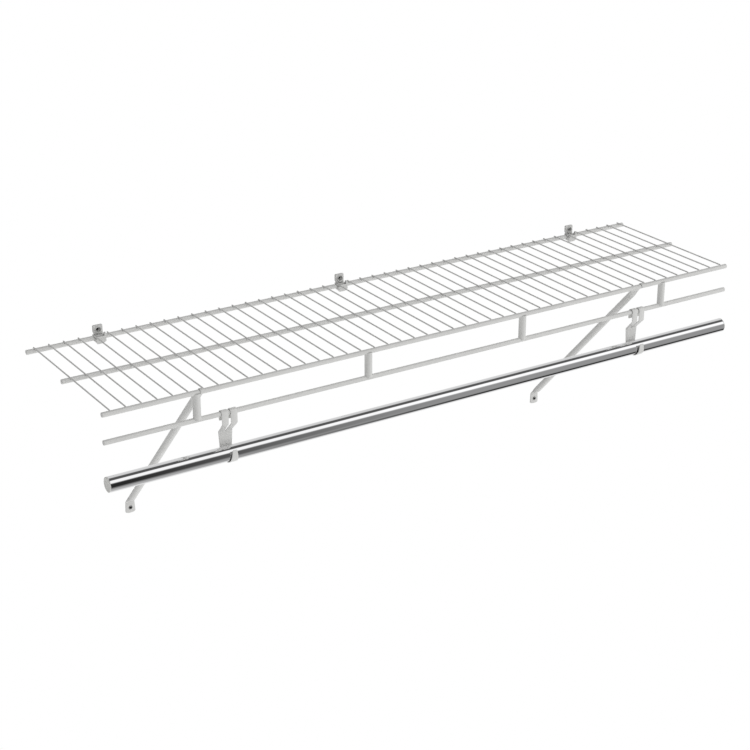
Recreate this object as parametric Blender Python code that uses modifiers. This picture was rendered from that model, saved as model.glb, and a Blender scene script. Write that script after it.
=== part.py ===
"""Ventilated wire closet shelf with a hanging rod, two braces and three wall clips.

The frame's origin lies on the wall plane, behind the middle wall clip and level
with the back rod's centre.  +X runs along the shelf, to the right as seen from
the room, +Y points into the wall and +Z up.  Lengths are in metres.
"""

import math

import bmesh
import bpy
from mathutils import Matrix, Vector

# Clearance kept between neighbouring pieces, welded or resting.
GAP = 0.0003

# Shelf frame: four equal long rods.
SHELF_LENGTH = 1.2192
ROD_DIAMETER = 0.008
DECK_DEPTH = 0.28634
MIDDLE_ROD_DEPTH = 0.14638
LIP_DROP = 0.04458
ROD_TO_WALL = 0.00656

# Deck wires, counted from the shelf's left end.
WIRE_DIAMETER = 0.0025
WIRE_PITCH = 0.0254
WIRE_COUNT = round(SHELF_LENGTH / WIRE_PITCH)
WIRE_FIRST_STATION = 0.01445
WIRE_TAIL = 0.0036
WIRE_BACK_RISE = 0.0004
WIRE_FRONT_DROP = 0.0005
WIRE_KNEE_OUT = 0.0012
WIRE_BEND = 0.0006
WIRE_WELD_SINK = 0.0014

# Posts between the front rod and the lip rod.
POST_DIAMETER = 0.0125
POST_FIRST_STATION = 0.1538
POST_WIRES = 12
POST_PITCH = WIRE_PITCH * POST_WIRES
POST_COUNT = round(SHELF_LENGTH / POST_PITCH)
POST_REACH = -0.0010

# Moulded wall clips, each beside one deck wire.
CLIP_WIRES = (4, WIRE_COUNT // 2 - 2, WIRE_COUNT - 6)
CLIP_WIRE_OFFSET = 0.0090
CLIP_PLATE_WIDTH = 0.0166
CLIP_PLATE_TOP = 0.0197
CLIP_PLATE_BOTTOM = 0.0040
CLIP_PLATE_THICKNESS = 0.0039
CLIP_PLATE_CORNER = 0.0016
CLIP_COLLAR_DIAMETER = 0.0112
CLIP_COLLAR_HEIGHT = 0.0122
CLIP_COLLAR_LENGTH = 0.0062
CLIP_COUNTERBORE_DIAMETER = 0.0088
CLIP_FLOOR_THICKNESS = 0.0010
CLIP_JAW_LEFT = 0.0088
CLIP_JAW_RIGHT = 0.0086
CLIP_JAW_TOP = 0.0096
CLIP_JAW_BOTTOM = 0.0098
CLIP_JAW_FRONT = 0.0098
CLIP_JAW_EDGE = 0.0004
CLIP_JAW_SHOULDER = 0.0052
CLIP_NOSE_LEFT = 0.0062
CLIP_NOSE_RIGHT = 0.0044
CLIP_NOSE_RISE = 0.0016
CLIP_LIP_TOP = 0.0040
CLIP_BLOCK_LEFT = 0.0058
CLIP_POCKET_DIAMETER = 0.0030
CLIP_POCKET_DEPTH = 0.0036
CLIP_POCKET_SIDE = 0.0045
CLIP_POCKET_INSET = 0.0009
CLIP_WALL_CLEARANCE = 0.0004
WIRE_NOTCH_HALF = 0.0020
WIRE_NOTCH_BOTTOM = 0.0009
WIRE_NOTCH_TOP = 0.0076

# Screws of the clips and of the brace feet.
CLIP_SCREW_HEAD = 0.0046
CLIP_SCREW_HEAD_HEIGHT = 0.0012
CLIP_SCREW_SHANK = 0.0026
BRACE_SCREW_HEAD = 0.0065
BRACE_SCREW_HEAD_HEIGHT = 0.0018
BRACE_SCREW_SHANK = 0.0038

# Braces: a tube flattened at both ends, hooked over the front rod.
BRACE_WIRES = (6, WIRE_COUNT - 8)
BRACE_FROM_WIRES = (0.0047, 0.0082)
BRACE_DIAMETER = 0.0118
BRACE_FOOT_SHIFT = 0.0013
BRACE_FOOT_BEND = 0.3097
BRACE_BEND_TO_HOLE = 0.0112
BRACE_HOLE_TO_END = 0.0102
BRACE_FOOT_ROUND = 0.0032
BRACE_FOOT_WIDTH = 0.0182
BRACE_FOOT_NECK = 0.0166
BRACE_FOOT_THICKNESS = 0.0024
BRACE_FLAT_LENGTH = 0.0165
BRACE_TOP_DEPTH = 0.0093
BRACE_TOP_DROP = 0.0059
BRACE_TOP_WIDTH = 0.0182
BRACE_TOP_FLAT = 0.0080
BRACE_TOP_BLEND = 0.0160
BRACE_SHOULDER = 0.0014
HOOK_WIDTH = 0.0062
HOOK_THICKNESS = 0.0011
HOOK_TIP_DROP = 0.0012
BEND_RADIUS = 0.0030

# Sheet hangers: a split hook on the lip rod and a cup for the closet rod.
HANGER_FROM_LEFT = 0.20595
HANGER_FROM_RIGHT = 0.2052
HANGER_THICKNESS = 0.0014
HANGER_TAB_SPAN = 0.0264
HANGER_SLOT = 0.0040
HANGER_TAIL = 0.0129
HANGER_JOG_TOP = 0.0174
HANGER_JOG_BOTTOM = 0.0344
HANGER_PLATE_TOP_WIDTH = 0.0238
HANGER_PLATE_BOTTOM_WIDTH = 0.0202
HANGER_CUP_WIDTH = 0.0143
HANGER_LIP_WIDTH = 0.0086
HANGER_LIP_CORNER = 0.0014
HANGER_LIP_RISE = 0.0085
CUP_RADIUS = 0.0145
CUP_FORWARD = 0.0038
CUP_DROP = 0.06467

# Closet rod: a thin steel tube with a plug cap in each end.
CLOSET_ROD_DIAMETER = 0.0245
CLOSET_ROD_WALL = 0.0010
CLOSET_ROD_SHORTFALL = 0.0050
CAP_FLANGE = 0.0018
CAP_EDGE = 0.0004
CAP_PLUG_LENGTH = 0.0120
CAP_PLUG_WALL = 0.0016

# Facet counts.
ROD_SIDES = 16
WIRE_RESOLUTION = 2
POST_SIDES = 18
CLOSET_ROD_SIDES = 32
SCREW_SIDES = 16
HOLE_SIDES = 18
ARC_STEP = math.radians(18.0)
SECTION_CORNER_POINTS = 4

# Shares that shape the tapers, of the length each is used with.
SCREW_DOME_SHARES = ((0, 1), (0.5, 0.96), (0.8, 0.8), (1, 0.5), (1, 0))
FLAT_CORNER_SHARE = 0.42
FOOT_ROUND_SHARES = ((0.06, 0.48), (0.12, 0.62), (0.30, 0.82), (0.59, 0.96), (1, 1))
TAPER_SHARES = (0.25, 0.5, 0.75, 1)
HANGER_JOG_SHARE = 0.55
HANGER_SLOT_SHARES = (0.7, 0.28)
CUP_TAPER_SHARE = 0.7
LIP_FOOT_SHARE = 0.6
LIP_CORNER_SHARES = ((1.6, 0), (0.5, 0.6), (0, 2))

# Positions worked out from the lengths above.
ROD_RADIUS = ROD_DIAMETER / 2
WIRE_RADIUS = WIRE_DIAMETER / 2
CLEAR_RADIUS = ROD_RADIUS + GAP
CLIP_STATIONS = tuple(
    WIRE_FIRST_STATION + index * WIRE_PITCH + CLIP_WIRE_OFFSET for index in CLIP_WIRES
)
ORIGIN_STATION = CLIP_STATIONS[1]
BRACE_STATIONS = tuple(
    WIRE_FIRST_STATION + index * WIRE_PITCH - offset
    for index, offset in zip(BRACE_WIRES, BRACE_FROM_WIRES)
)
BRACE_FOOT_HOLE = BRACE_FOOT_BEND + BRACE_BEND_TO_HOLE
BRACE_FOOT_BOTTOM = BRACE_FOOT_HOLE + BRACE_HOLE_TO_END
HANGER_STATIONS = (HANGER_FROM_LEFT, SHELF_LENGTH - HANGER_FROM_RIGHT)
CLOSET_ROD_LENGTH = SHELF_LENGTH - CLOSET_ROD_SHORTFALL
BACK_ROD_Y = -ROD_TO_WALL
FRONT_ROD_Y = BACK_ROD_Y - DECK_DEPTH
MIDDLE_ROD_Y = FRONT_ROD_Y + MIDDLE_ROD_DEPTH
WIRE_Z = ROD_RADIUS + WIRE_RADIUS - WIRE_WELD_SINK
LIP_ROD_Z = -LIP_DROP
CLOSET_ROD_Y = FRONT_ROD_Y - CUP_FORWARD
CLOSET_ROD_Z = LIP_ROD_Z - CUP_DROP - CUP_RADIUS + GAP + CLOSET_ROD_DIAMETER / 2
SHELF_MIDDLE = SHELF_LENGTH / 2

# Turns that lay a piece built along Z on another axis.
ALONG_X = Matrix.Rotation(math.radians(90.0), 4, "Y")
ALONG_Y = Matrix.Rotation(math.radians(90.0), 4, "X")
SIDE_VIEW = Matrix(((0, 0, 1, 0), (1, 0, 0, 0), (0, 1, 0, 0), (0, 0, 0, 1)))


def shelf_x(station):
    """Return the X of a station measured from the shelf's left end."""
    return station - ORIGIN_STATION


def clear_scene():
    """Remove whatever the opened scene holds."""
    for obj in list(bpy.data.objects):
        bpy.data.objects.remove(obj, do_unlink=True)


def new_collection(name):
    """Make a collection and link it to the scene."""
    collection = bpy.data.collections.new(name)
    bpy.context.scene.collection.children.link(collection)
    return collection


def make_material(name, colour, metallic, roughness):
    """Make a plain material with one Principled shader."""
    material = bpy.data.materials.new(name)
    material.use_nodes = True
    shader = material.node_tree.nodes["Principled BSDF"]
    shader.inputs["Base Color"].default_value = (*colour, 1.0)
    shader.inputs["Metallic"].default_value = metallic
    shader.inputs["Roughness"].default_value = roughness
    material.diffuse_color = (*colour, 1.0)
    return material


def make_empty(name, location, parent=None):
    """Make an empty that marks a joint's axis."""
    empty = bpy.data.objects.new(name, None)
    empty.empty_display_size = ROD_DIAMETER
    PARTS.objects.link(empty)
    attach(empty, location, parent)
    return empty


def attach(obj, location, parent=None):
    """Put an object at a world location and hang it on its parent."""
    offset = Vector(location)
    if parent is not None:
        obj.parent = parent
        offset = offset - parent_origin(parent)
    obj.location = offset


def parent_origin(parent):
    """Return a parent's world location, which no parent here turns."""
    origin = Vector(parent.location)
    while parent.parent is not None:
        parent = parent.parent
        origin = origin + parent.location
    return origin


def add_piece(name, mesh, material, location, parent=None):
    """Make one sub-part from a mesh, shade its round faces smooth and place it."""
    mesh.name = name
    mesh.materials.append(material)
    mesh.shade_smooth()
    mesh.set_sharp_from_angle(angle=math.radians(35.0))
    obj = bpy.data.objects.new(name, mesh)
    PARTS.objects.link(obj)
    attach(obj, location, parent)
    return obj


def add_cutter(name, mesh, location):
    """Make a hidden helper solid for a Boolean."""
    obj = bpy.data.objects.new(name, mesh)
    CUTTERS.objects.link(obj)
    obj.hide_render = True
    obj.display_type = "WIRE"
    obj.location = location
    return obj


def boolean(obj, other, operation):
    """Join or cut an object with a helper solid."""
    modifier = obj.modifiers.new(operation.title(), "BOOLEAN")
    modifier.operation = operation
    modifier.solver = "EXACT"
    modifier.object = other


def cylinder_mesh(radius, length, sides, turn=None):
    """Return a closed cylinder centred on its own origin."""
    mesh = bpy.data.meshes.new("cylinder")
    shape = bmesh.new()
    bmesh.ops.create_cone(
        shape,
        cap_ends=True,
        segments=sides,
        radius1=radius,
        radius2=radius,
        depth=length,
    )
    if turn is not None:
        bmesh.ops.transform(shape, matrix=turn, verts=shape.verts)
    shape.to_mesh(mesh)
    shape.free()
    return mesh


def box_mesh(low, high):
    """Return a closed box between two corners."""
    mesh = bpy.data.meshes.new("box")
    low = Vector(low)
    high = Vector(high)
    size = high - low
    shape = bmesh.new()
    bmesh.ops.create_cube(shape, size=1.0)
    bmesh.ops.scale(shape, vec=size, verts=shape.verts)
    bmesh.ops.translate(shape, vec=(low + high) / 2, verts=shape.verts)
    shape.to_mesh(mesh)
    shape.free()
    return mesh


def mesh_from_curve(curve, turn=None):
    """Turn a curve into a welded mesh and drop the curve."""
    holder = bpy.data.objects.new("curve", curve)
    bpy.context.scene.collection.objects.link(holder)
    bpy.context.view_layer.update()
    graph = bpy.context.evaluated_depsgraph_get()
    mesh = bpy.data.meshes.new_from_object(holder.evaluated_get(graph))
    shape = bmesh.new()
    shape.from_mesh(mesh)
    bmesh.ops.remove_doubles(shape, verts=shape.verts, dist=GAP / 100)
    if turn is not None:
        bmesh.ops.transform(shape, matrix=turn, verts=shape.verts)
    shape.to_mesh(mesh)
    shape.free()
    bpy.data.objects.remove(holder, do_unlink=True)
    return mesh


def outline_mesh(points, thickness, turn):
    """Return a flat outline, given as 2D points, drawn out to a thickness."""
    curve = bpy.data.curves.new("outline", "CURVE")
    curve.dimensions = "2D"
    curve.fill_mode = "BOTH"
    curve.extrude = thickness / 2
    spline = curve.splines.new("POLY")
    spline.points.add(len(points) - 1)
    for target, (x, y) in zip(spline.points, points):
        target.co = (x, y, 0, 1)
    spline.use_cyclic_u = True
    return mesh_from_curve(curve, turn)


def turned_mesh(profile, sides, turn=None, closed=False):
    """Return a profile of (radius, height) points turned about Z."""
    mesh = bpy.data.meshes.new("profile")
    points = [(radius, 0, height) for radius, height in profile]
    edges = [(index, index + 1) for index in range(len(points) - 1)]
    if closed:
        edges.append((len(points) - 1, 0))
    mesh.from_pydata(points, edges, [])
    holder = bpy.data.objects.new("turned", mesh)
    bpy.context.scene.collection.objects.link(holder)
    screw = holder.modifiers.new("Screw", "SCREW")
    screw.steps = sides
    screw.render_steps = sides
    screw.use_merge_vertices = True
    screw.merge_threshold = GAP / 30
    screw.use_smooth_shade = True
    bpy.context.view_layer.update()
    graph = bpy.context.evaluated_depsgraph_get()
    result = bpy.data.meshes.new_from_object(holder.evaluated_get(graph))
    if turn is not None:
        result.transform(turn)
    bpy.data.objects.remove(holder, do_unlink=True)
    return result


def arc(centre, radius, start, end, step=ARC_STEP):
    """Return points of an arc, both ends included, angles in radians."""
    count = max(1, math.ceil(abs(end - start) / step))
    points = []
    for index in range(count + 1):
        angle = start + (end - start) * index / count
        side = centre[0] + radius * math.cos(angle)
        height = centre[1] + radius * math.sin(angle)
        points.append((side, height))
    return points


def rounded_corner(before, corner, after, radius):
    """Return the arc that rounds a corner between two straight runs."""
    corner = Vector(corner)
    toward_start = (Vector(before) - corner).normalized()
    toward_end = (Vector(after) - corner).normalized()
    half = toward_start.angle(toward_end) / 2
    bisector = (toward_start + toward_end).normalized()
    centre = corner + bisector * (radius / math.sin(half))
    first = corner + toward_start * (radius / math.tan(half)) - centre
    last = corner + toward_end * (radius / math.tan(half)) - centre
    turn = first.angle_signed(last)
    start = math.atan2(first.y, first.x)
    return arc(centre, radius, start, start - turn)


def blend(start, end, share):
    """Return the value a share of the way from start to end."""
    return start + (end - start) * share


def smooth(share):
    """Ease a share so that it starts and ends level."""
    return share * share * (3 - 2 * share)


def wire_path():
    """Return a deck wire's centre line around the back rod's centre, tail first.

    The wire falls a little from back to front.  Its front end turns down and points
    at the front rod's centre, a gap short of its surface.
    """
    front = -DECK_DEPTH
    level = WIRE_Z - WIRE_FRONT_DROP
    reach = CLEAR_RADIUS + GAP / 2
    slope = math.asin(level / (ROD_RADIUS + WIRE_KNEE_OUT))
    knee = (front + level / math.tan(slope), level)
    start = (knee[0] + WIRE_BEND, level)
    end = (knee[0] - WIRE_BEND * math.cos(slope), level - WIRE_BEND * math.sin(slope))
    tip = (front + reach * math.cos(slope), reach * math.sin(slope))
    return [(WIRE_TAIL, WIRE_Z + WIRE_BACK_RISE), start, end, tip]


def build_deck(pivot):
    """Build the deck wires, welded across the middle rod and the back rod, as one piece."""
    curve = bpy.data.curves.new("deck wires", "CURVE")
    curve.dimensions = "3D"
    curve.fill_mode = "FULL"
    curve.bevel_depth = WIRE_RADIUS
    curve.bevel_resolution = WIRE_RESOLUTION
    curve.use_fill_caps = True
    path = wire_path()
    for index in range(WIRE_COUNT):
        spline = curve.splines.new("POLY")
        spline.points.add(len(path) - 1)
        x = shelf_x(WIRE_FIRST_STATION + index * WIRE_PITCH)
        for target, (y, z) in zip(spline.points, path):
            target.co = (x, y, z, 1)
    wires = add_cutter("deck wires", mesh_from_curve(curve), (0, BACK_ROD_Y, 0))
    middle = cylinder_mesh(ROD_RADIUS, SHELF_LENGTH, ROD_SIDES, ALONG_X)
    middle_at = (shelf_x(SHELF_MIDDLE), MIDDLE_ROD_Y, 0)
    middle_rod = add_cutter("middle rod", middle, middle_at)
    rod = cylinder_mesh(ROD_RADIUS, SHELF_LENGTH, ROD_SIDES, ALONG_X)
    rod.transform(Matrix.Translation((shelf_x(SHELF_MIDDLE), 0, 0)))
    deck = add_piece("deck_grid", rod, WHITE_STEEL, (0, BACK_ROD_Y, 0), pivot)
    boolean(deck, wires, "UNION")
    boolean(deck, middle_rod, "UNION")


def build_long_rod(name, y, z, pivot):
    """Build one of the shelf's long rods."""
    mesh = cylinder_mesh(ROD_RADIUS, SHELF_LENGTH, ROD_SIDES, ALONG_X)
    add_piece(name, mesh, WHITE_STEEL, (shelf_x(SHELF_MIDDLE), y, z), pivot)


def build_posts(pivot):
    """Build the short tubes coped between the front rod and the lip rod."""
    helpers = []
    for label, z in (("front rod room", 0), ("lip rod room", LIP_ROD_Z)):
        room = cylinder_mesh(CLEAR_RADIUS, SHELF_LENGTH, HOLE_SIDES, ALONG_X)
        helpers.append(add_cutter(label, room, (shelf_x(SHELF_MIDDLE), FRONT_ROD_Y, z)))
    length = LIP_DROP + POST_REACH * 2
    for index in range(POST_COUNT):
        mesh = cylinder_mesh(POST_DIAMETER / 2, length, POST_SIDES)
        x = shelf_x(POST_FIRST_STATION + index * POST_PITCH)
        place = (x, FRONT_ROD_Y, LIP_ROD_Z / 2)
        post = add_piece(f"post_{index + 1}", mesh, WHITE_STEEL, place, pivot)
        for helper in helpers:
            boolean(post, helper, "DIFFERENCE")


def jaw_side_outline():
    """Return the clip jaw's side outline around the back rod's centre."""
    back = ROD_TO_WALL - CLIP_WALL_CLEARANCE
    bottom = -CLIP_JAW_BOTTOM
    front = -CLIP_JAW_FRONT
    throat = arc((0, 0), CLEAR_RADIUS, math.radians(20.0), -math.radians(210.0))
    points = [(back, CLEAR_RADIUS * math.sin(math.radians(20.0)))]
    points.extend(throat)
    points.append((-CLEAR_RADIUS, CLIP_JAW_TOP - CLIP_JAW_EDGE * 4))
    points.append((-CLEAR_RADIUS - CLIP_JAW_EDGE * 4, CLIP_JAW_TOP))
    points.append((front + CLIP_JAW_EDGE * 3, CLIP_JAW_TOP - CLIP_JAW_EDGE))
    points.append((front + CLIP_JAW_EDGE, CLIP_JAW_TOP - CLIP_JAW_EDGE * 4))
    points.append((front, bottom / 2))
    points.append((front + CLIP_JAW_EDGE * 3, bottom + CLIP_JAW_EDGE * 3))
    points.append((front / 2, bottom))
    points.append((CLEAR_RADIUS / 2, bottom + CLIP_JAW_EDGE * 4))
    points.append((back, bottom / 2))
    return points


def jaw_front_outline():
    """Return the clip jaw's front outline around the plate's middle, wire side left."""
    left = -CLIP_JAW_LEFT
    right = CLIP_JAW_RIGHT
    bottom = -CLIP_JAW_BOTTOM * 2
    nose = -CLIP_JAW_BOTTOM + CLIP_NOSE_RISE
    step = WIRE_NOTCH_HALF - CLIP_WIRE_OFFSET
    top = CLIP_JAW_TOP + CLIP_JAW_FRONT
    return [
        (left, -CLIP_JAW_SHOULDER),
        (-CLIP_NOSE_LEFT, nose),
        (-CLIP_NOSE_LEFT / 4, bottom),
        (CLIP_NOSE_RIGHT / 2, bottom),
        (CLIP_NOSE_RIGHT, nose),
        (right, -CLIP_JAW_SHOULDER),
        (right, top),
        (CLIP_BLOCK_LEFT, top),
        (CLIP_BLOCK_LEFT, CLIP_LIP_TOP),
        (step, CLIP_LIP_TOP),
        (step, WIRE_NOTCH_BOTTOM),
        (left, WIRE_NOTCH_BOTTOM),
    ]


def clip_plate_outline():
    """Return the clip plate's front outline around the plate's own middle."""
    half = CLIP_PLATE_WIDTH / 2
    corner = CLIP_PLATE_CORNER
    top = CLIP_PLATE_TOP
    quarter = math.radians(90.0)
    points = [(-half, -CLIP_PLATE_BOTTOM), (half, -CLIP_PLATE_BOTTOM)]
    points.extend(arc((half - corner, top - corner), corner, 0, quarter, quarter / 4))
    points.extend(arc((corner - half, top - corner), corner, quarter, quarter * 2, quarter / 4))
    return points


def build_clip(name, station):
    """Build a moulded wall clip: plate, screw collar and jaws for the back rod."""
    x = shelf_x(station)
    upright = Matrix.Rotation(math.radians(90.0), 4, "X")
    plate = outline_mesh(clip_plate_outline(), CLIP_PLATE_THICKNESS, upright)
    plate.transform(Matrix.Translation((0, -CLIP_PLATE_THICKNESS / 2, 0)))
    clip = add_piece(name, plate, WHITE_PLASTIC, (x, 0, 0))

    collar_root = CLIP_PLATE_THICKNESS / 2
    collar_length = CLIP_COLLAR_LENGTH - collar_root
    collar = cylinder_mesh(CLIP_COLLAR_DIAMETER / 2, collar_length, HOLE_SIDES, ALONG_Y)
    collar_y = -collar_root - collar_length / 2
    collar_at = (x, collar_y, CLIP_COLLAR_HEIGHT)
    boolean(clip, add_cutter(f"{name} collar", collar, collar_at), "UNION")

    jaw_width = CLIP_JAW_LEFT + CLIP_JAW_RIGHT
    jaw = outline_mesh(jaw_side_outline(), jaw_width * 2, SIDE_VIEW)
    jaw_block = add_cutter(f"{name} jaw", jaw, (x, BACK_ROD_Y, 0))
    face = outline_mesh(jaw_front_outline(), CLIP_JAW_FRONT * 4, upright)
    boolean(jaw_block, add_cutter(f"{name} jaw face", face, (x, BACK_ROD_Y, 0)), "INTERSECT")
    boolean(clip, jaw_block, "UNION")

    room = cylinder_mesh(CLEAR_RADIUS, jaw_width * 2, HOLE_SIDES, ALONG_X)
    boolean(clip, add_cutter(f"{name} rod room", room, (x, BACK_ROD_Y, 0)), "DIFFERENCE")

    bore_length = CLIP_COLLAR_LENGTH * 2
    counterbore = cylinder_mesh(
        CLIP_COUNTERBORE_DIAMETER / 2, bore_length, HOLE_SIDES, ALONG_Y
    )
    bore_y = -CLIP_FLOOR_THICKNESS - bore_length / 2
    bore_at = (x, bore_y, CLIP_COLLAR_HEIGHT)
    boolean(clip, add_cutter(f"{name} counterbore", counterbore, bore_at), "DIFFERENCE")

    hole_radius = CLIP_SCREW_SHANK / 2 + GAP
    hole = cylinder_mesh(hole_radius, bore_length, HOLE_SIDES, ALONG_Y)
    hole_at = (x, 0, CLIP_COLLAR_HEIGHT)
    boolean(clip, add_cutter(f"{name} screw hole", hole, hole_at), "DIFFERENCE")

    notch = box_mesh(
        (-CLIP_WIRE_OFFSET - WIRE_NOTCH_HALF, -CLIP_JAW_FRONT * 3, WIRE_NOTCH_BOTTOM),
        (WIRE_NOTCH_HALF - CLIP_WIRE_OFFSET, CLIP_JAW_FRONT, WIRE_NOTCH_TOP),
    )
    boolean(clip, add_cutter(f"{name} wire notch", notch, (x, 0, 0)), "DIFFERENCE")

    pocket = cylinder_mesh(CLIP_POCKET_DIAMETER / 2, CLIP_POCKET_DEPTH * 2, HOLE_SIDES)
    pocket_y = BACK_ROD_Y - CLEAR_RADIUS - CLIP_POCKET_INSET
    pocket_at = (x + CLIP_POCKET_SIDE, pocket_y, CLIP_LIP_TOP)
    boolean(clip, add_cutter(f"{name} pocket", pocket, pocket_at), "DIFFERENCE")


def screw_profile(head, head_height, shank, length):
    """Return a pan head screw's profile, its head's seat at height zero."""
    radius = head / 2
    points = [(radius * out, head_height * up) for out, up in SCREW_DOME_SHARES]
    points.extend([(shank / 2, 0), (shank / 2, -length), (0, -length)])
    return points


def build_screw(name, head, head_height, shank, seat, location, parent=None):
    """Build a screw whose head seats in front of a wall and shank stops short of it."""
    profile = screw_profile(head, head_height, shank, seat - GAP)
    mesh = turned_mesh(profile, SCREW_SIDES, ALONG_Y)
    add_piece(name, mesh, DARK_STEEL, location, parent)


def section_ring(centre, normal, width, thickness, corner):
    """Return a rounded rectangle's points across a path that lies in the YZ plane."""
    ring = []
    quarter = math.radians(90.0)
    step = quarter / SECTION_CORNER_POINTS
    stretch = math.sin(quarter - step / 2)
    for index, (side, up) in enumerate(((1, 1), (-1, 1), (-1, -1), (1, -1))):
        for point in range(SECTION_CORNER_POINTS):
            angle = quarter * index + step * (point + 0.5)
            across = side * (width / 2 - corner) + corner * math.cos(angle) / stretch
            out = up * (thickness / 2 - corner) + corner * math.sin(angle) / stretch
            x = centre[0] + across
            y = centre[1] + normal[0] * out
            z = centre[2] + normal[1] * out
            ring.append((x, y, z))
    return ring


def loft_mesh(rings):
    """Return a closed solid lofted through rings of equal point counts."""
    mesh = bpy.data.meshes.new("loft")
    shape = bmesh.new()
    loops = [[shape.verts.new(point) for point in ring] for ring in rings]
    count = len(loops[0])
    for first, second in zip(loops, loops[1:]):
        for index in range(count):
            after = (index + 1) % count
            shape.faces.new((first[index], first[after], second[after], second[index]))
    shape.faces.new(loops[0])
    shape.faces.new(loops[-1])
    bmesh.ops.recalc_face_normals(shape, faces=shape.faces)
    shape.to_mesh(mesh)
    shape.free()
    return mesh


def brace_sections():
    """Return the brace's sections from foot to hook, around the front rod's centre.

    Each is (y, z, side shift, width, thickness, corner radius).
    """
    wall = -FRONT_ROD_Y
    foot_y = wall - BRACE_FOOT_THICKNESS / 2
    bend = Vector((foot_y, -BRACE_FOOT_BEND))
    top = Vector((BRACE_TOP_DEPTH, -BRACE_TOP_DROP))
    slant = (top - bend).normalized()
    run = (top - bend).length
    flat_corner = BRACE_FOOT_THICKNESS * FLAT_CORNER_SHARE
    sections = []

    for share, spread in FOOT_ROUND_SHARES:
        z = -BRACE_FOOT_BOTTOM + BRACE_FOOT_ROUND * share
        width = BRACE_FOOT_WIDTH * spread
        sections.append((foot_y, z, 1, width, BRACE_FOOT_THICKNESS, flat_corner))

    below = (foot_y, -BRACE_FOOT_BOTTOM)
    for y, z in rounded_corner(below, tuple(bend), tuple(top), BEND_RADIUS):
        sections.append((y, z, 1, BRACE_FOOT_NECK, BRACE_FOOT_THICKNESS, flat_corner))

    start = BEND_RADIUS
    for taper_share in TAPER_SHARES:
        share = smooth(taper_share)
        along = blend(start, BRACE_FLAT_LENGTH, taper_share)
        y, z = bend + slant * along
        width = blend(BRACE_FOOT_NECK, BRACE_DIAMETER, share)
        thickness = blend(BRACE_FOOT_THICKNESS, BRACE_DIAMETER, share)
        corner = blend(flat_corner, BRACE_DIAMETER / 2, share)
        shift = 1 - along / run
        sections.append((y, z, shift, width, thickness, corner))

    hook_corner = HOOK_THICKNESS * FLAT_CORNER_SHARE
    for taper_share in (0, *TAPER_SHARES):
        share = smooth(1 - taper_share)
        back = blend(BRACE_TOP_FLAT + BRACE_TOP_BLEND, BRACE_TOP_FLAT, taper_share)
        y, z = top - slant * back
        width = blend(BRACE_TOP_WIDTH, BRACE_DIAMETER, share)
        thickness = blend(HOOK_THICKNESS, BRACE_DIAMETER, share)
        corner = blend(hook_corner, BRACE_DIAMETER / 2, share)
        sections.append((y, z, back / run, width, thickness, corner))

    y, z = top - slant * BRACE_SHOULDER
    sections.append((y, z, 0, BRACE_TOP_WIDTH, HOOK_THICKNESS, hook_corner))
    y, z = top
    sections.append((y, z, 0, (BRACE_TOP_WIDTH + HOOK_WIDTH) / 2, HOOK_THICKNESS, hook_corner))

    middle = CLEAR_RADIUS + HOOK_THICKNESS / 2
    toward = math.atan2(top.y, top.x)
    tangent = toward + math.acos(middle / top.length)
    wrap = arc((0, 0), middle, tangent, math.radians(180.0))
    shoulder = top + (Vector(wrap[0]) - top).normalized() * BRACE_SHOULDER
    y, z = shoulder
    sections.append((y, z, 0, HOOK_WIDTH, HOOK_THICKNESS, hook_corner))
    for y, z in wrap:
        sections.append((y, z, 0, HOOK_WIDTH, HOOK_THICKNESS, hook_corner))
    tip = -HOOK_TIP_DROP
    sections.append((-middle, tip, 0, HOOK_WIDTH, HOOK_THICKNESS, hook_corner))
    return sections


def build_brace(name, station, pivot):
    """Build a brace: foot tab on the wall, tube, and hook over the front rod."""
    sections = brace_sections()
    points = [Vector((section[0], section[1])) for section in sections]
    rings = []
    for index, (y, z, shift, width, thickness, corner) in enumerate(sections):
        before = points[max(index - 1, 0)]
        after = points[min(index + 1, len(points) - 1)]
        heading = (after - before).normalized()
        if index > 0 and index < len(points) - 1:
            incoming = (points[index] - before).normalized()
            outgoing = (after - points[index]).normalized()
            heading = (incoming + outgoing).normalized()
        normal = (-heading.y, heading.x)
        centre = (BRACE_FOOT_SHIFT * shift, y, z)
        rings.append(section_ring(centre, normal, width, thickness, corner))
    x = shelf_x(station)
    mesh = loft_mesh(rings)
    brace = add_piece(name, mesh, WHITE_STEEL, (x, FRONT_ROD_Y, 0), pivot)

    hole_radius = BRACE_SCREW_SHANK / 2 + GAP
    hole = cylinder_mesh(hole_radius, BRACE_FOOT_THICKNESS * 4, HOLE_SIDES, ALONG_Y)
    hole_at = (x + BRACE_FOOT_SHIFT, 0, -BRACE_FOOT_HOLE)
    boolean(brace, add_cutter(f"{name} screw hole", hole, hole_at), "DIFFERENCE")


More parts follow.
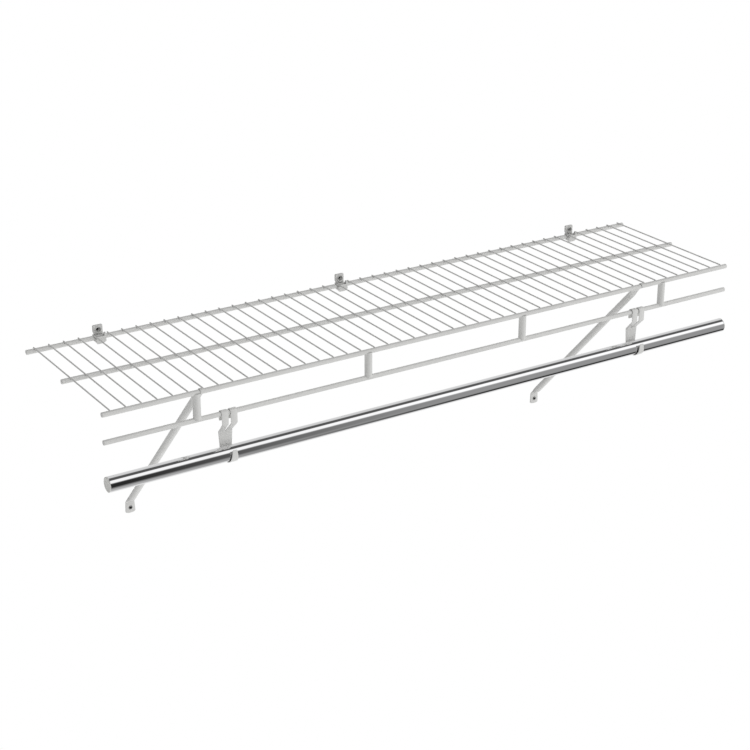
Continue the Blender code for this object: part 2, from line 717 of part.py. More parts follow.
def hanger_path():
    """Return the hanger's rows around the lip rod's centre.

    Each row is (y, z, width, slot width) on the sheet's middle surface, from
    the hook's free end over the rod and down to the cup's lip.
    """
    hook = CLEAR_RADIUS + HANGER_THICKNESS / 2
    cup = CUP_RADIUS + HANGER_THICKNESS / 2
    plate_y = cup - CUP_FORWARD
    turn = math.radians(180.0)
    tab = HANGER_TAB_SPAN
    rows = []
    corner = HANGER_LIP_CORNER
    rows.append((hook, -HANGER_TAIL, tab - corner, HANGER_SLOT + corner))
    rows.append((hook, -HANGER_TAIL + corner / 2, tab, HANGER_SLOT))
    for y, z in arc((0, 0), hook, 0, turn, ARC_STEP * 1.5):
        rows.append((y, z, tab, HANGER_SLOT))

    jog_top = (-hook, -HANGER_JOG_TOP)
    jog_bottom = (plate_y, -HANGER_JOG_BOTTOM)
    cup_back = (plate_y, -CUP_DROP)
    for y, z in rounded_corner((-hook, 0), jog_top, jog_bottom, BEND_RADIUS):
        rows.append((y, z, tab, HANGER_SLOT))
    bend = rounded_corner(jog_top, jog_bottom, cup_back, BEND_RADIUS)
    middle = Vector(jog_top).lerp(Vector(jog_bottom), HANGER_JOG_SHARE)
    width = blend(tab, HANGER_PLATE_TOP_WIDTH, HANGER_JOG_SHARE)
    rows.append((middle.x, middle.y, width, HANGER_SLOT * HANGER_SLOT_SHARES[0]))
    for index, (y, z) in enumerate(bend):
        slot = HANGER_SLOT * HANGER_SLOT_SHARES[1] if index == 0 else 0
        rows.append((y, z, HANGER_PLATE_TOP_WIDTH, slot))

    rows.append((*cup_back, HANGER_PLATE_BOTTOM_WIDTH, 0))
    centre = (-CUP_FORWARD, -CUP_DROP)
    bowl = arc(centre, cup, 0, -turn)
    steps = len(bowl) - 1
    lip_foot = blend(HANGER_CUP_WIDTH, HANGER_LIP_WIDTH, LIP_FOOT_SHARE)
    for index in range(1, steps + 1):
        share = index / steps
        if share < CUP_TAPER_SHARE:
            width = blend(HANGER_PLATE_BOTTOM_WIDTH, HANGER_CUP_WIDTH, share / CUP_TAPER_SHARE)
        else:
            rest = (share - CUP_TAPER_SHARE) / (1 - CUP_TAPER_SHARE)
            width = blend(HANGER_CUP_WIDTH, lip_foot, rest)
        rows.append((*bowl[index], width, 0))

    lip_y = -CUP_FORWARD - cup
    lip_top = -CUP_DROP + HANGER_LIP_RISE
    for drop, cut in LIP_CORNER_SHARES:
        rows.append((lip_y, lip_top - corner * drop, HANGER_LIP_WIDTH - corner * cut, 0))
    return rows


def sheet_mesh(rows):
    """Return the open sheet through the rows, split where they have a slot."""
    mesh = bpy.data.meshes.new("sheet")
    shape = bmesh.new()
    previous = None
    for y, z, width, slot in rows:
        spots = [-width / 2, -slot / 2, slot / 2, width / 2]
        if slot == 0:
            spots = [-width / 2, 0, width / 2]
        line = [shape.verts.new((x, y, z)) for x in spots]
        left = (line[0], line[1])
        right = (line[-2], line[-1])
        if previous is not None:
            shape.faces.new((previous[0][0], previous[0][1], left[1], left[0]))
            shape.faces.new((previous[1][0], previous[1][1], right[1], right[0]))
        previous = (left, right)
    bmesh.ops.recalc_face_normals(shape, faces=shape.faces)
    shape.to_mesh(mesh)
    shape.free()
    return mesh


def build_hanger(name, station, pivot):
    """Build a bent sheet hanger that carries the closet rod."""
    mesh = sheet_mesh(hanger_path())
    place = (shelf_x(station), FRONT_ROD_Y, LIP_ROD_Z)
    hanger = add_piece(name, mesh, WHITE_STEEL, place, pivot)
    solidify = hanger.modifiers.new("Sheet", "SOLIDIFY")
    solidify.thickness = HANGER_THICKNESS
    solidify.offset = 0
    solidify.use_even_offset = True
    return hanger


def build_closet_rod(carrier):
    """Build the hanging tube and the plug caps in its ends."""
    radius = CLOSET_ROD_DIAMETER / 2
    inner = radius - CLOSET_ROD_WALL
    tube_length = CLOSET_ROD_LENGTH - (CAP_FLANGE + GAP) * 2
    half = tube_length / 2
    profile = [(radius, half), (radius, -half), (inner, -half), (inner, half)]
    tube = turned_mesh(profile, CLOSET_ROD_SIDES, ALONG_X, closed=True)
    middle = shelf_x(CLOSET_ROD_LENGTH / 2)
    place = Vector((middle, CLOSET_ROD_Y, CLOSET_ROD_Z))
    rod = add_piece("closet_rod", tube, CHROME, place, carrier)

    plug = inner - GAP
    bore = plug - CAP_PLUG_WALL
    cap_profile = [
        (0, CAP_FLANGE),
        (radius - CAP_EDGE, CAP_FLANGE),
        (radius, CAP_FLANGE - CAP_EDGE),
        (radius, 0),
        (plug, 0),
        (plug, -CAP_PLUG_LENGTH),
        (bore, -CAP_PLUG_LENGTH),
        (bore, 0),
        (0, 0),
    ]
    seat = Vector((half + GAP, 0, 0))
    for name, side in (("rod_cap_left", -1), ("rod_cap_right", 1)):
        turn = Matrix.Rotation(math.radians(90.0) * side, 4, "Y")
        cap = turned_mesh(cap_profile, CLOSET_ROD_SIDES, turn)
        add_piece(name, cap, GREY_PLASTIC, place + seat * side, rod)


def build_shelf():
    """Build every sub-part, each under the empty on its joint's axis."""
    for label, station in zip(("left", "middle", "right"), CLIP_STATIONS):
        build_clip(f"wall_clip_{label}", station)
        place = (shelf_x(station), -CLIP_FLOOR_THICKNESS - GAP, CLIP_COLLAR_HEIGHT)
        build_screw(
            f"clip_screw_{label}",
            CLIP_SCREW_HEAD,
            CLIP_SCREW_HEAD_HEIGHT,
            CLIP_SCREW_SHANK,
            CLIP_FLOOR_THICKNESS + GAP,
            place,
        )

    shelf_pivot = make_empty("shelf_pivot", (0, BACK_ROD_Y, 0))
    build_deck(shelf_pivot)
    build_long_rod("front_rod", FRONT_ROD_Y, 0, shelf_pivot)
    build_long_rod("lip_rod", FRONT_ROD_Y, LIP_ROD_Z, shelf_pivot)
    build_posts(shelf_pivot)

    for label, station in zip(("left", "right"), BRACE_STATIONS):
        axis = (shelf_x(station), FRONT_ROD_Y, 0)
        brace_pivot = make_empty(f"brace_{label}_pivot", axis, shelf_pivot)
        build_brace(f"brace_{label}", station, brace_pivot)
        foot_x = shelf_x(station) + BRACE_FOOT_SHIFT
        place = (foot_x, -BRACE_FOOT_THICKNESS - GAP, -BRACE_FOOT_HOLE)
        build_screw(
            f"brace_screw_{label}",
            BRACE_SCREW_HEAD,
            BRACE_SCREW_HEAD_HEIGHT,
            BRACE_SCREW_SHANK,
            BRACE_FOOT_THICKNESS + GAP,
            place,
            brace_pivot,
        )

    hangers = []
    for label, station in zip(("left", "right"), HANGER_STATIONS):
        axis = (shelf_x(station), FRONT_ROD_Y, LIP_ROD_Z)
        hanger_pivot = make_empty(f"hanger_{label}_pivot", axis, shelf_pivot)
        hangers.append(build_hanger(f"hanger_{label}", station, hanger_pivot))
    build_closet_rod(hangers[0])


clear_scene()
PARTS = new_collection("wire_closet_shelf")
CUTTERS = new_collection("cutters")

# Finishes read from the photograph.
WHITE_STEEL = make_material("white_coated_steel", (0.80, 0.80, 0.79), 0.0, 0.35)
WHITE_PLASTIC = make_material("white_moulded_plastic", (0.78, 0.78, 0.77), 0.0, 0.45)
DARK_STEEL = make_material("dark_screw_steel", (0.03, 0.03, 0.03), 0.8, 0.40)
CHROME = make_material("chromed_steel", (0.83, 0.83, 0.84), 1.0, 0.08)
GREY_PLASTIC = make_material("grey_cap_plastic", (0.62, 0.62, 0.63), 0.0, 0.40)

build_shelf()
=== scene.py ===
"""White wire closet shelf with a hanging rod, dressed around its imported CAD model.

Every sub-assembly is a class that keeps its real sizes in metres, builds its own
meshes, gives them a finish and hangs them on the CAD body that they move with.
+X runs along the shelf, +Y into the wall and +Z up, as in the CAD model.
"""

from __future__ import annotations

import logging
import math
import random
from collections.abc import Callable
from dataclasses import dataclass
from enum import Enum

import bmesh
import bpy
from bmesh.types import BMesh
from bpy.types import Material, Mesh, Node, NodeSocket, NodeTree, Object
from mathutils import Matrix, Vector, noise

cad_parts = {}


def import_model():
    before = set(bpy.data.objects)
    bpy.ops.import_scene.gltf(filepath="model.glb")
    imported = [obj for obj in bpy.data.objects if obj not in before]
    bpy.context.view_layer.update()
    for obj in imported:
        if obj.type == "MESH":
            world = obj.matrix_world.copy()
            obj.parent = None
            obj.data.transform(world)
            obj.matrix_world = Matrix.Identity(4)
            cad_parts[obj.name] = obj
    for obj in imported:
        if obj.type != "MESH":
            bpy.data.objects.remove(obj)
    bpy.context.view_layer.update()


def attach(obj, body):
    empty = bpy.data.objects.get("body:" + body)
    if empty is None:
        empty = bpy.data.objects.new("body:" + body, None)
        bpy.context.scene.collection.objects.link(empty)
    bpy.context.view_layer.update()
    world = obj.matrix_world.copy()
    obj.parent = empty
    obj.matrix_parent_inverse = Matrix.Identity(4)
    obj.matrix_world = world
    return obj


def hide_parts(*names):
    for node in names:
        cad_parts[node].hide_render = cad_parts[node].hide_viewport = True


LOG = logging.getLogger("closet_shelf")

MM = 0.001
QUARTER = math.pi / 2
# Turns of a form's own Z axis: out of the wall, and along the shelf.
TO_FRONT = Matrix.Rotation(QUARTER, 4, "X")
TO_RIGHT = Matrix.Rotation(QUARTER, 4, "Y")

Point = tuple[float, float]
Row = tuple[float, ...]


class Body(Enum):
    """The CAD bodies that the pieces ride on."""

    WALL = "wall_fixings"
    SHELF = "shelf_frame"
    LEFT_BRACE = "left_brace"
    RIGHT_BRACE = "right_brace"
    LEFT_HANGER = "left_hanger"
    RIGHT_HANGER = "right_hanger"
    ROD = "hanging_rod"


class Slot(Enum):
    """The record's material slots."""

    COATED = "white_coated_steel"
    MOULDED = "white_moulded_plastic"
    SCREW = "dark_screw_steel"
    CHROME = "chromed_steel"
    CAP = "grey_cap_plastic"


def linear_colour(code: str) -> tuple[float, float, float, float]:
    """Turn an sRGB hex colour into linear values.

    Args:
        code: Colour as six hex digits, with or without a leading hash.

    Returns:
        Linear red, green, blue and full opacity.
    """
    digits = code.lstrip("#")
    values = []
    for start in (0, 2, 4):
        level = int(digits[start : start + 2], 16) / 255
        values.append(level / 12.92 if level <= 0.04045 else ((level + 0.055) / 1.055) ** 2.4)
    return values[0], values[1], values[2], 1.0


def configure(thing: object, **values: object) -> None:
    """Set several properties of a thing by name."""
    for name, value in values.items():
        setattr(thing, name, value)


def add_object(name: str, data: bpy.types.ID, **values: object) -> Object:
    """Add an object to the scene.

    Args:
        name: Name for the object.
        data: Its mesh, camera or light.
        values: Values for the object's own properties.

    Returns:
        The new object.
    """
    obj = bpy.data.objects.new(name, data)
    bpy.context.scene.collection.objects.link(obj)
    configure(obj, **values)
    return obj


def add_node(
    tree: NodeTree, kind: str, inputs: dict[str | int, object] | None = None, **settings: object
) -> Node:
    """Add a node with its settings, socket values and links.

    Args:
        tree: Node tree to add to.
        kind: Blender's name for the node type.
        inputs: Values, or output sockets to link, by input name or index.
        settings: Values for the node's own properties.

    Returns:
        The new node.
    """
    node = tree.nodes.new(kind)
    configure(node, **settings)
    for name, value in (inputs or {}).items():
        if isinstance(value, NodeSocket):
            tree.links.new(value, node.inputs[name])
        else:
            node.inputs[name].default_value = value
    return node


def blend(start: float, end: float, share: float) -> float:
    """Return the value a share of the way from start to end."""
    return start + (end - start) * share


def ease(share: float) -> float:
    """Ease a share so that it starts and ends level."""
    return share * share * (3 - 2 * share)


def arc(centre: Point, radius: float, start: float, end: float, count: int) -> list[Point]:
    """Return points of an arc.

    Args:
        centre: Centre of the arc.
        radius: Radius of the arc.
        start: First angle in radians.
        end: Last angle in radians.
        count: Number of steps between the two ends.

    Returns:
        Both ends and the points between them.
    """
    angles = [blend(start, end, index / count) for index in range(count + 1)]
    return [(centre[0] + radius * math.cos(a), centre[1] + radius * math.sin(a)) for a in angles]


def corner_arc(before: Point, corner: Point, after: Point, radius: float, count: int) -> list[Point]:
    """Round the corner between two straight runs.

    Args:
        before: A point on the run that comes in.
        corner: Where the two runs meet.
        after: A point on the run that goes out.
        radius: Radius of the bend.
        count: Number of steps in the bend.

    Returns:
        Points of the bend in running order.
    """
    meet = Vector(corner)
    inward = (Vector(before) - meet).normalized()
    outward = (Vector(after) - meet).normalized()
    half = inward.angle(outward) / 2
    centre = meet + (inward + outward).normalized() * (radius / math.sin(half))
    first = meet + inward * (radius / math.tan(half)) - centre
    last = meet + outward * (radius / math.tan(half)) - centre
    start = math.atan2(first.y, first.x)
    return arc((centre.x, centre.y), radius, start, start - first.angle_signed(last), count)


@dataclass(frozen=True)
class ShelfPlan:
    """Places and sizes that more than one sub-assembly needs, in metres."""

    length: float = 1.2192
    rod_radius: float = 0.004
    gap: float = 0.0003
    deck_depth: float = 0.28634
    middle_depth: float = 0.14638
    lip_drop: float = 0.04458
    rod_to_wall: float = 0.00656
    wire_pitch: float = 0.0254
    wire_first: float = 0.01445
    origin_station: float = 0.58225
    # The cups of the hangers, where the hanging rod lies.
    cup_radius: float = 0.0145
    cup_forward: float = 0.0038
    cup_drop: float = 0.06467

    def at(self, station: float) -> float:
        """Return the X of a station counted from the shelf's left end."""
        return station - self.origin_station

    def wire_x(self, index: int) -> float:
        """Return the X of a deck wire."""
        return self.at(self.wire_first + index * self.wire_pitch)

    @property
    def wire_count(self) -> int:
        """Number of deck wires."""
        return round(self.length / self.wire_pitch)

    @property
    def back_y(self) -> float:
        """Y of the back rod."""
        return -self.rod_to_wall

    @property
    def front_y(self) -> float:
        """Y of the front rod and the lip rod."""
        return self.back_y - self.deck_depth

    @property
    def middle_y(self) -> float:
        """Y of the middle rod."""
        return self.front_y + self.middle_depth

    @property
    def lip_z(self) -> float:
        """Z of the lip rod."""
        return -self.lip_drop

    @property
    def clear_radius(self) -> float:
        """Radius of whatever wraps a rod."""
        return self.rod_radius + self.gap


PLAN = ShelfPlan()


class Sculptor:
    """Builds closed meshes from rings, profiles and cutters."""

    @staticmethod
    def finish_mesh(shape: BMesh) -> Mesh:
        """Turn a bmesh into a mesh with outward faces and free the bmesh.

        Args:
            shape: The bmesh to convert.

        Returns:
            The mesh.
        """
        bmesh.ops.recalc_face_normals(shape, faces=shape.faces)
        mesh = bpy.data.meshes.new("form")
        shape.to_mesh(mesh)
        shape.free()
        return mesh

    @staticmethod
    def solid(add: Callable[..., None], *details: object) -> Mesh:
        """Return the mesh of a single form.

        Args:
            add: A method that adds a form to a bmesh.
            details: What that method takes after the bmesh.

        Returns:
            The mesh.
        """
        shape = bmesh.new()
        add(shape, *details)
        return Sculptor.finish_mesh(shape)

    @staticmethod
    def loft(shape: BMesh, rings: list[list[Vector]], closed: bool = False) -> None:
        """Skin a run of equal rings and cap both ends.

        Args:
            shape: The bmesh to add to.
            rings: Rings of equal point counts.
            closed: True joins the last ring to the first and leaves out the caps.
        """
        loops = [[shape.verts.new(point) for point in ring] for ring in rings]
        count = len(loops[0])
        pairs = list(zip(loops, loops[1:]))
        if closed:
            pairs.append((loops[-1], loops[0]))
        for first, second in pairs:
            for index in range(count):
                after = (index + 1) % count
                shape.faces.new((first[index], first[after], second[after], second[index]))
        if not closed:
            shape.faces.new(loops[0])
            shape.faces.new(loops[-1])

    @staticmethod
    def turned(
        shape: BMesh, profile: list[Point], sides: int, place: Matrix, closed: bool = False
    ) -> None:
        """Add a profile turned about Z and then placed.

        Args:
            shape: The bmesh to add to.
            profile: Points of radius and height.
            sides: Number of steps round the axis.
            place: Transform from the turned shape's own axes.
            closed: True for a profile that closes on itself, as a tube's wall does.
        """
        angles = [2 * math.pi * index / sides for index in range(sides)]
        rings = [
            [place @ Vector((radius * math.cos(a), radius * math.sin(a), height)) for a in angles]
            for radius, height in profile
        ]
        Sculptor.loft(shape, rings, closed)

    @staticmethod
    def bar(diameter: float, near: float, far: float, sides: int, place: Matrix) -> Mesh:
        """Return a round bar, mostly to cut with.

        Args:
            diameter: Its diameter.
            near: Where it starts along its own Z.
            far: Where it ends along its own Z.
            sides: Number of steps round it.
            place: Transform from the bar's own axes.

        Returns:
            The mesh.
        """
        profile = [(diameter / 2, near), (diameter / 2, far)]
        return Sculptor.solid(Sculptor.turned, profile, sides, place)

    @staticmethod
    def blob(shape: BMesh, centre: Vector, radii: Vector, around: int = 10) -> None:
        """Add a squashed ball, such as a weld's bead.

        Args:
            shape: The bmesh to add to.
            centre: Middle of the ball.
            radii: Half sizes along X, Y and Z.
            around: Number of steps round the ball.
        """
        place = Matrix.Translation(centre) @ Matrix.Diagonal((*radii, 1))
        bmesh.ops.create_uvsphere(
            shape, u_segments=around, v_segments=around // 2 + 1, radius=1.0, matrix=place
        )

    @staticmethod
    def block(shape: BMesh, low: Vector, high: Vector) -> None:
        """Add a box between two corners.

        Args:
            shape: The bmesh to add to.
            low: The corner with the smallest X, Y and Z.
            high: The corner with the largest.
        """
        place = Matrix.Translation((low + high) / 2) @ Matrix.Diagonal((*(high - low), 1))
        bmesh.ops.create_cube(shape, size=1.0, matrix=place)

    @staticmethod
    def prism(shape: BMesh, outline: list[Point], depth: float, place: Matrix) -> None:
        """Add a flat outline drawn out evenly to both sides of its plane.

        Args:
            shape: The bmesh to add to.
            outline: Corners in the outline's own plane.
            depth: Whole thickness.
            place: Transform from the outline's plane, with the depth along Z.
        """
        levels = (-depth / 2, depth / 2)
        Sculptor.loft(shape, [[place @ Vector((*spot, level)) for spot in outline] for level in levels])

    @staticmethod
    def with_modifiers(obj: Object) -> Mesh:
        """Return an object's mesh with its modifiers applied and remove the object.

        Args:
            obj: A scratch object.

        Returns:
            The evaluated mesh.
        """
        bpy.context.view_layer.update()
        graph = bpy.context.evaluated_depsgraph_get()
        mesh = bpy.data.meshes.new_from_object(obj.evaluated_get(graph))
        bpy.data.objects.remove(obj, do_unlink=True)
        return mesh

    @staticmethod
    def combine(base: Mesh, steps: list[tuple[str, Mesh]]) -> Mesh:
        """Join to, cut from or trim a mesh with others, in order.

        Args:
            base: The mesh to start from.
            steps: Pairs of operation name and the mesh it uses.

        Returns:
            The combined mesh.
        """
        obj = add_object("scratch", base)
        helpers = [add_object("scratch", mesh) for _, mesh in steps]
        for (operation, _), helper in zip(steps, helpers):
            modifier = obj.modifiers.new(operation.title(), "BOOLEAN")
            configure(modifier, operation=operation, solver="EXACT", object=helper)
        result = Sculptor.with_modifiers(obj)
        for helper in helpers:
            bpy.data.objects.remove(helper, do_unlink=True)
        return result

    @staticmethod
    def soften(mesh: Mesh, voxel: float, rounds: int) -> Mesh:
        """Remesh a solid evenly and relax it, which rounds its edges as moulding does.

        Args:
            mesh: A closed mesh.
            voxel: Size of the remesh, about a third of the edge radius wanted.
            rounds: Number of smoothing rounds.

        Returns:
            The softened mesh.
        """
        obj = add_object("scratch", mesh)
        configure(obj.modifiers.new("Even", "REMESH"), mode="VOXEL", voxel_size=voxel)
        configure(obj.modifiers.new("Relax", "SMOOTH"), factor=0.5, iterations=rounds)
        return Sculptor.with_modifiers(obj)

    @staticmethod
    def rounded_ring(
        centre: Vector, normal: Vector, width: float, thickness: float, corner: float, steps: int
    ) -> list[Vector]:
        """Return a rounded rectangle across a path that runs in the YZ plane.

        Args:
            centre: Middle of the section.
            normal: Unit vector across the section's thickness.
            width: Size along X.
            thickness: Size along the normal.
            corner: Corner radius.
            steps: Points in each corner.

        Returns:
            Points round the section.
        """
        ring = []
        for index, (side, up) in enumerate(((1, 1), (-1, 1), (-1, -1), (1, -1))):
            for point in range(steps):
                angle = QUARTER * (index + (point + 0.5) / steps)
                across = side * (width / 2 - corner) + corner * math.cos(angle)
                out = up * (thickness / 2 - corner) + corner * math.sin(angle)
                ring.append(centre + Vector((across, 0, 0)) + normal * out)
        return ring


class Recipe:
    """A material in the making: one Principled shader and the patterns that feed it."""

    def __init__(self, name: str) -> None:
        """Start the material, with its patterns laid out in the piece's own space.

        Args:
            name: Name for the material.
        """
        self.material = bpy.data.materials.new(name)
        self.material.use_nodes = True
        self.tree = self.material.node_tree
        self.shader = self.tree.nodes["Principled BSDF"]
        self.place = add_node(self.tree, "ShaderNodeTexCoord").outputs["Object"]

    def pattern(
        self, size_mm: float, values: dict[str, object], kind: str = "ShaderNodeTexNoise"
    ) -> Node:
        """Add a pattern of a real size.

        Args:
            size_mm: About how often it repeats, in millimetres.
            values: Its other inputs.
            kind: Blender's name for the texture.

        Returns:
            The texture's node.
        """
        return add_node(self.tree, kind, {"Vector": self.place, "Scale": 1 / (size_mm * MM), **values})

    def tint(self, value: NodeSocket, span: Point, first: str, second: str) -> NodeSocket:
        """Give the shader a colour that changes with a pattern.

        Args:
            value: The pattern.
            span: Where in the pattern the change starts and ends.
            first: Colour below the span.
            second: Colour above it.

        Returns:
            How far the colour has changed.
        """
        limits = {"Value": value, "From Min": span[0], "From Max": span[1]}
        share = add_node(self.tree, "ShaderNodeMapRange", limits).outputs["Result"]
        colours = {"Factor": share, 6: linear_colour(first), 7: linear_colour(second)}
        mixed = add_node(self.tree, "ShaderNodeMix", colours, data_type="RGBA")
        self.tree.links.new(mixed.outputs[2], self.shader.inputs["Base Color"])
        return share

    def paint_crevice_shade(self, reach_mm: float, darkest: float) -> None:
        """Paint shade into the colour in crevices, darker where other faces come close.

        Args:
            reach_mm: How far off a neighbouring face still counts, in millimetres.
            darkest: Share of the colour that is left in the deepest crevice.
        """
        colour = self.shader.inputs["Base Color"].links[0].from_socket
        reach = {"Distance": reach_mm * MM}
        # Painted shade: the less open a spot is, the darker its colour is made.
        openness = add_node(self.tree, "ShaderNodeAmbientOcclusion", reach, samples=8)
        share = add_node(
            self.tree,
            "ShaderNodeMapRange",
            {"Value": openness.outputs["AO"], "From Min": 0.25, "From Max": 0.9, "To Min": darkest},
            interpolation_type="SMOOTHSTEP",
        )
        layers = {"Factor": 1.0, 6: colour, 7: share.outputs["Result"]}
        shaded = add_node(self.tree, "ShaderNodeMix", layers, data_type="RGBA", blend_type="MULTIPLY")
        self.tree.links.new(shaded.outputs[2], self.shader.inputs["Base Color"])

    def vary_gloss(self, value: NodeSocket, smooth: float, dull: float) -> None:
        """Let the roughness change with a pattern.

        Args:
            value: The pattern.
            smooth: Roughness where the pattern is low.
            dull: Roughness where it is high.
        """
        limits = {"Value": value, "To Min": smooth, "To Max": dull}
        gloss = add_node(self.tree, "ShaderNodeMapRange", limits)
        self.tree.links.new(gloss.outputs["Result"], self.shader.inputs["Roughness"])

    def raise_skin(self, height: NodeSocket, depth_mm: float, strength: float) -> None:
        """Let a pattern stand out of the surface.

        Args:
            height: The pattern.
            depth_mm: How far it stands out, in millimetres.
            strength: How much of that shows.
        """
        values = {"Height": height, "Distance": depth_mm * MM, "Strength": strength}
        bump = add_node(self.tree, "ShaderNodeBump", values)
        self.tree.links.new(bump.outputs["Normal"], self.shader.inputs["Normal"])

    def done(self, values: dict[str, float]) -> Material:
        """Set what is the same all over the surface.

        Args:
            values: Values for the shader's inputs.

        Returns:
            The finished material.
        """
        for name, value in values.items():
            self.shader.inputs[name].default_value = value
        return self.material


@dataclass(frozen=True)
class PowderCoat:
    """White polyester powder coat, sprayed on steel wire and baked.

    The eye gets an even, slightly warm white with a soft satin gloss.  A close
    look shows the faint orange peel of the melted powder and thin spots where
    the coat has pulled away from edges.
    """

    name: str = "powder_coated_steel"
    colour: str = "#E8E8E6"
    thin_colour: str = "#E4E4E2"
    thin_span: Point = (0.35, 0.65)
    smooth: float = 0.19
    dull: float = 0.31
    ior: float = 1.52
    # Orange peel repeats about every 1.2 mm; it is drawn at 1.6 mm to show.
    peel_mm: float = 1.6
    peel_depth_mm: float = 0.05
    shade_mm: float = 45.0
    # Painted shade in crevices: how far it reaches, in millimetres, and the share of colour left at the
    # darkest.
    crevice_mm: float = 2.5
    crevice_shade: float = 0.60

    def build(self) -> Material:
        """Build the material.

        Returns:
            The material.
        """
        recipe = Recipe(self.name)
        shade = recipe.pattern(self.shade_mm, {"Detail": 3.0, "Roughness": 0.55}).outputs["Fac"]
        recipe.tint(shade, self.thin_span, self.thin_colour, self.colour)
        recipe.paint_crevice_shade(self.crevice_mm, self.crevice_shade)
        recipe.vary_gloss(shade, self.smooth, self.dull)
        peel = recipe.pattern(self.peel_mm, {"Detail": 2.0, "Roughness": 0.4})
        recipe.raise_skin(peel.outputs["Fac"], self.peel_depth_mm, 0.6)
        return recipe.done({"IOR": self.ior})


@dataclass(frozen=True)
class MouldedPlastic:
    """Injection moulded polypropylene or polyethylene with a fine spark-eroded skin.

    The eye gets a satin plastic with a fine even grain and a faint cloudiness
    from the flow of the melt.
    """

    name: str
    colour: str
    flow_colour: str
    roughness: float = 0.48
    ior: float = 1.49
    grain_mm: float = 0.35
    grain_depth_mm: float = 0.03
    flow_mm: float = 9.0
    flow_span: Point = (0.0, 1.0)
    # Painted shade in crevices: how far it reaches, in millimetres, and the share of colour left at the
    # darkest.
    crevice_mm: float = 4.0
    crevice_shade: float = 0.62

    def build(self) -> Material:
        """Build the material.

        Returns:
            The material.
        """
        recipe = Recipe(self.name)
        flow = recipe.pattern(self.flow_mm, {"Detail": 2.0, "Distortion": 0.6})
        recipe.tint(flow.outputs["Fac"], self.flow_span, self.flow_colour, self.colour)
        recipe.paint_crevice_shade(self.crevice_mm, self.crevice_shade)
        grain = recipe.pattern(self.grain_mm, {}, "ShaderNodeTexVoronoi")
        recipe.raise_skin(grain.outputs["Distance"], self.grain_depth_mm, 0.35)
        return recipe.done({"Roughness": self.roughness, "IOR": self.ior})


@dataclass(frozen=True)
class DarkScrewSteel:
    """Hardened screw steel, tumbled bright and blackened thinly in hot oil.

    The eye gets a dark mirror: black where it faces a dark part of the room,
    grey where it faces a light one, with the skin rubbed thin in small spots.
    Down in the bores and recesses it sits in, painted shade takes it nearly to black.
    """

    name: str = "oil_blackened_steel"
    colour: str = "#9C9C9C"
    rubbed_colour: str = "#C4C4C2"
    rub_span: Point = (0.55, 0.75)
    roughness: float = 0.24
    # The skin's grain is about 0.05 mm; it is drawn at 0.3 mm to show.
    grain_mm: float = 0.3
    grain_depth_mm: float = 0.01
    rub_mm: float = 2.2
    # Painted shade in crevices: how far it reaches, in millimetres, and the share of colour left at the
    # darkest.
    crevice_mm: float = 7.0
    crevice_shade: float = 0.05

    def build(self) -> Material:
        """Build the material.

        Returns:
            The material.
        """
        recipe = Recipe(self.name)
        rub = recipe.pattern(self.rub_mm, {"Detail": 4.0})
        recipe.tint(rub.outputs["Fac"], self.rub_span, self.colour, self.rubbed_colour)
        recipe.paint_crevice_shade(self.crevice_mm, self.crevice_shade)
        grain = recipe.pattern(self.grain_mm, {"Detail": 2.0})
        recipe.raise_skin(grain.outputs["Fac"], self.grain_depth_mm, 0.4)
        return recipe.done({"Metallic": 1.0, "Roughness": self.roughness})


@dataclass(frozen=True)
class ChromePlate:
    """Bright chromium plate on a polished steel tube.

    The eye gets a cold mirror.  Long faint drawing lines run along the tube, and
    thin smears of handling dull the mirror a little in places.
    """

    name: str = "chrome_plated_tube"
    colour: str = "#F1F1F2"
    smear_colour: str = "#E6E6E6"
    smear_span: Point = (0.48, 0.78)
    roughness: float = 0.02
    smear_roughness: float = 0.05
    smear_mm: float = 70.0
    line_mm: float = 0.5
    line_length_mm: float = 160.0
    line_depth_mm: float = 0.002

    def build(self) -> Material:
        """Build the material.

        Returns:
            The material.
        """
        recipe = Recipe(self.name)
        smear = recipe.pattern(self.smear_mm, {"Detail": 3.0})
        share = recipe.tint(smear.outputs["Fac"], self.smear_span, self.colour, self.smear_colour)
        recipe.vary_gloss(share, self.roughness, self.smear_roughness)
        drawn = {"Vector": recipe.place, "Scale": (self.line_mm / self.line_length_mm, 1.0, 1.0)}
        stretch = add_node(recipe.tree, "ShaderNodeMapping", drawn)
        lines = recipe.pattern(self.line_mm, {"Vector": stretch.outputs["Vector"]})
        recipe.raise_skin(lines.outputs["Fac"], self.line_depth_mm, 0.4)
        return recipe.done({"Metallic": 1.0})


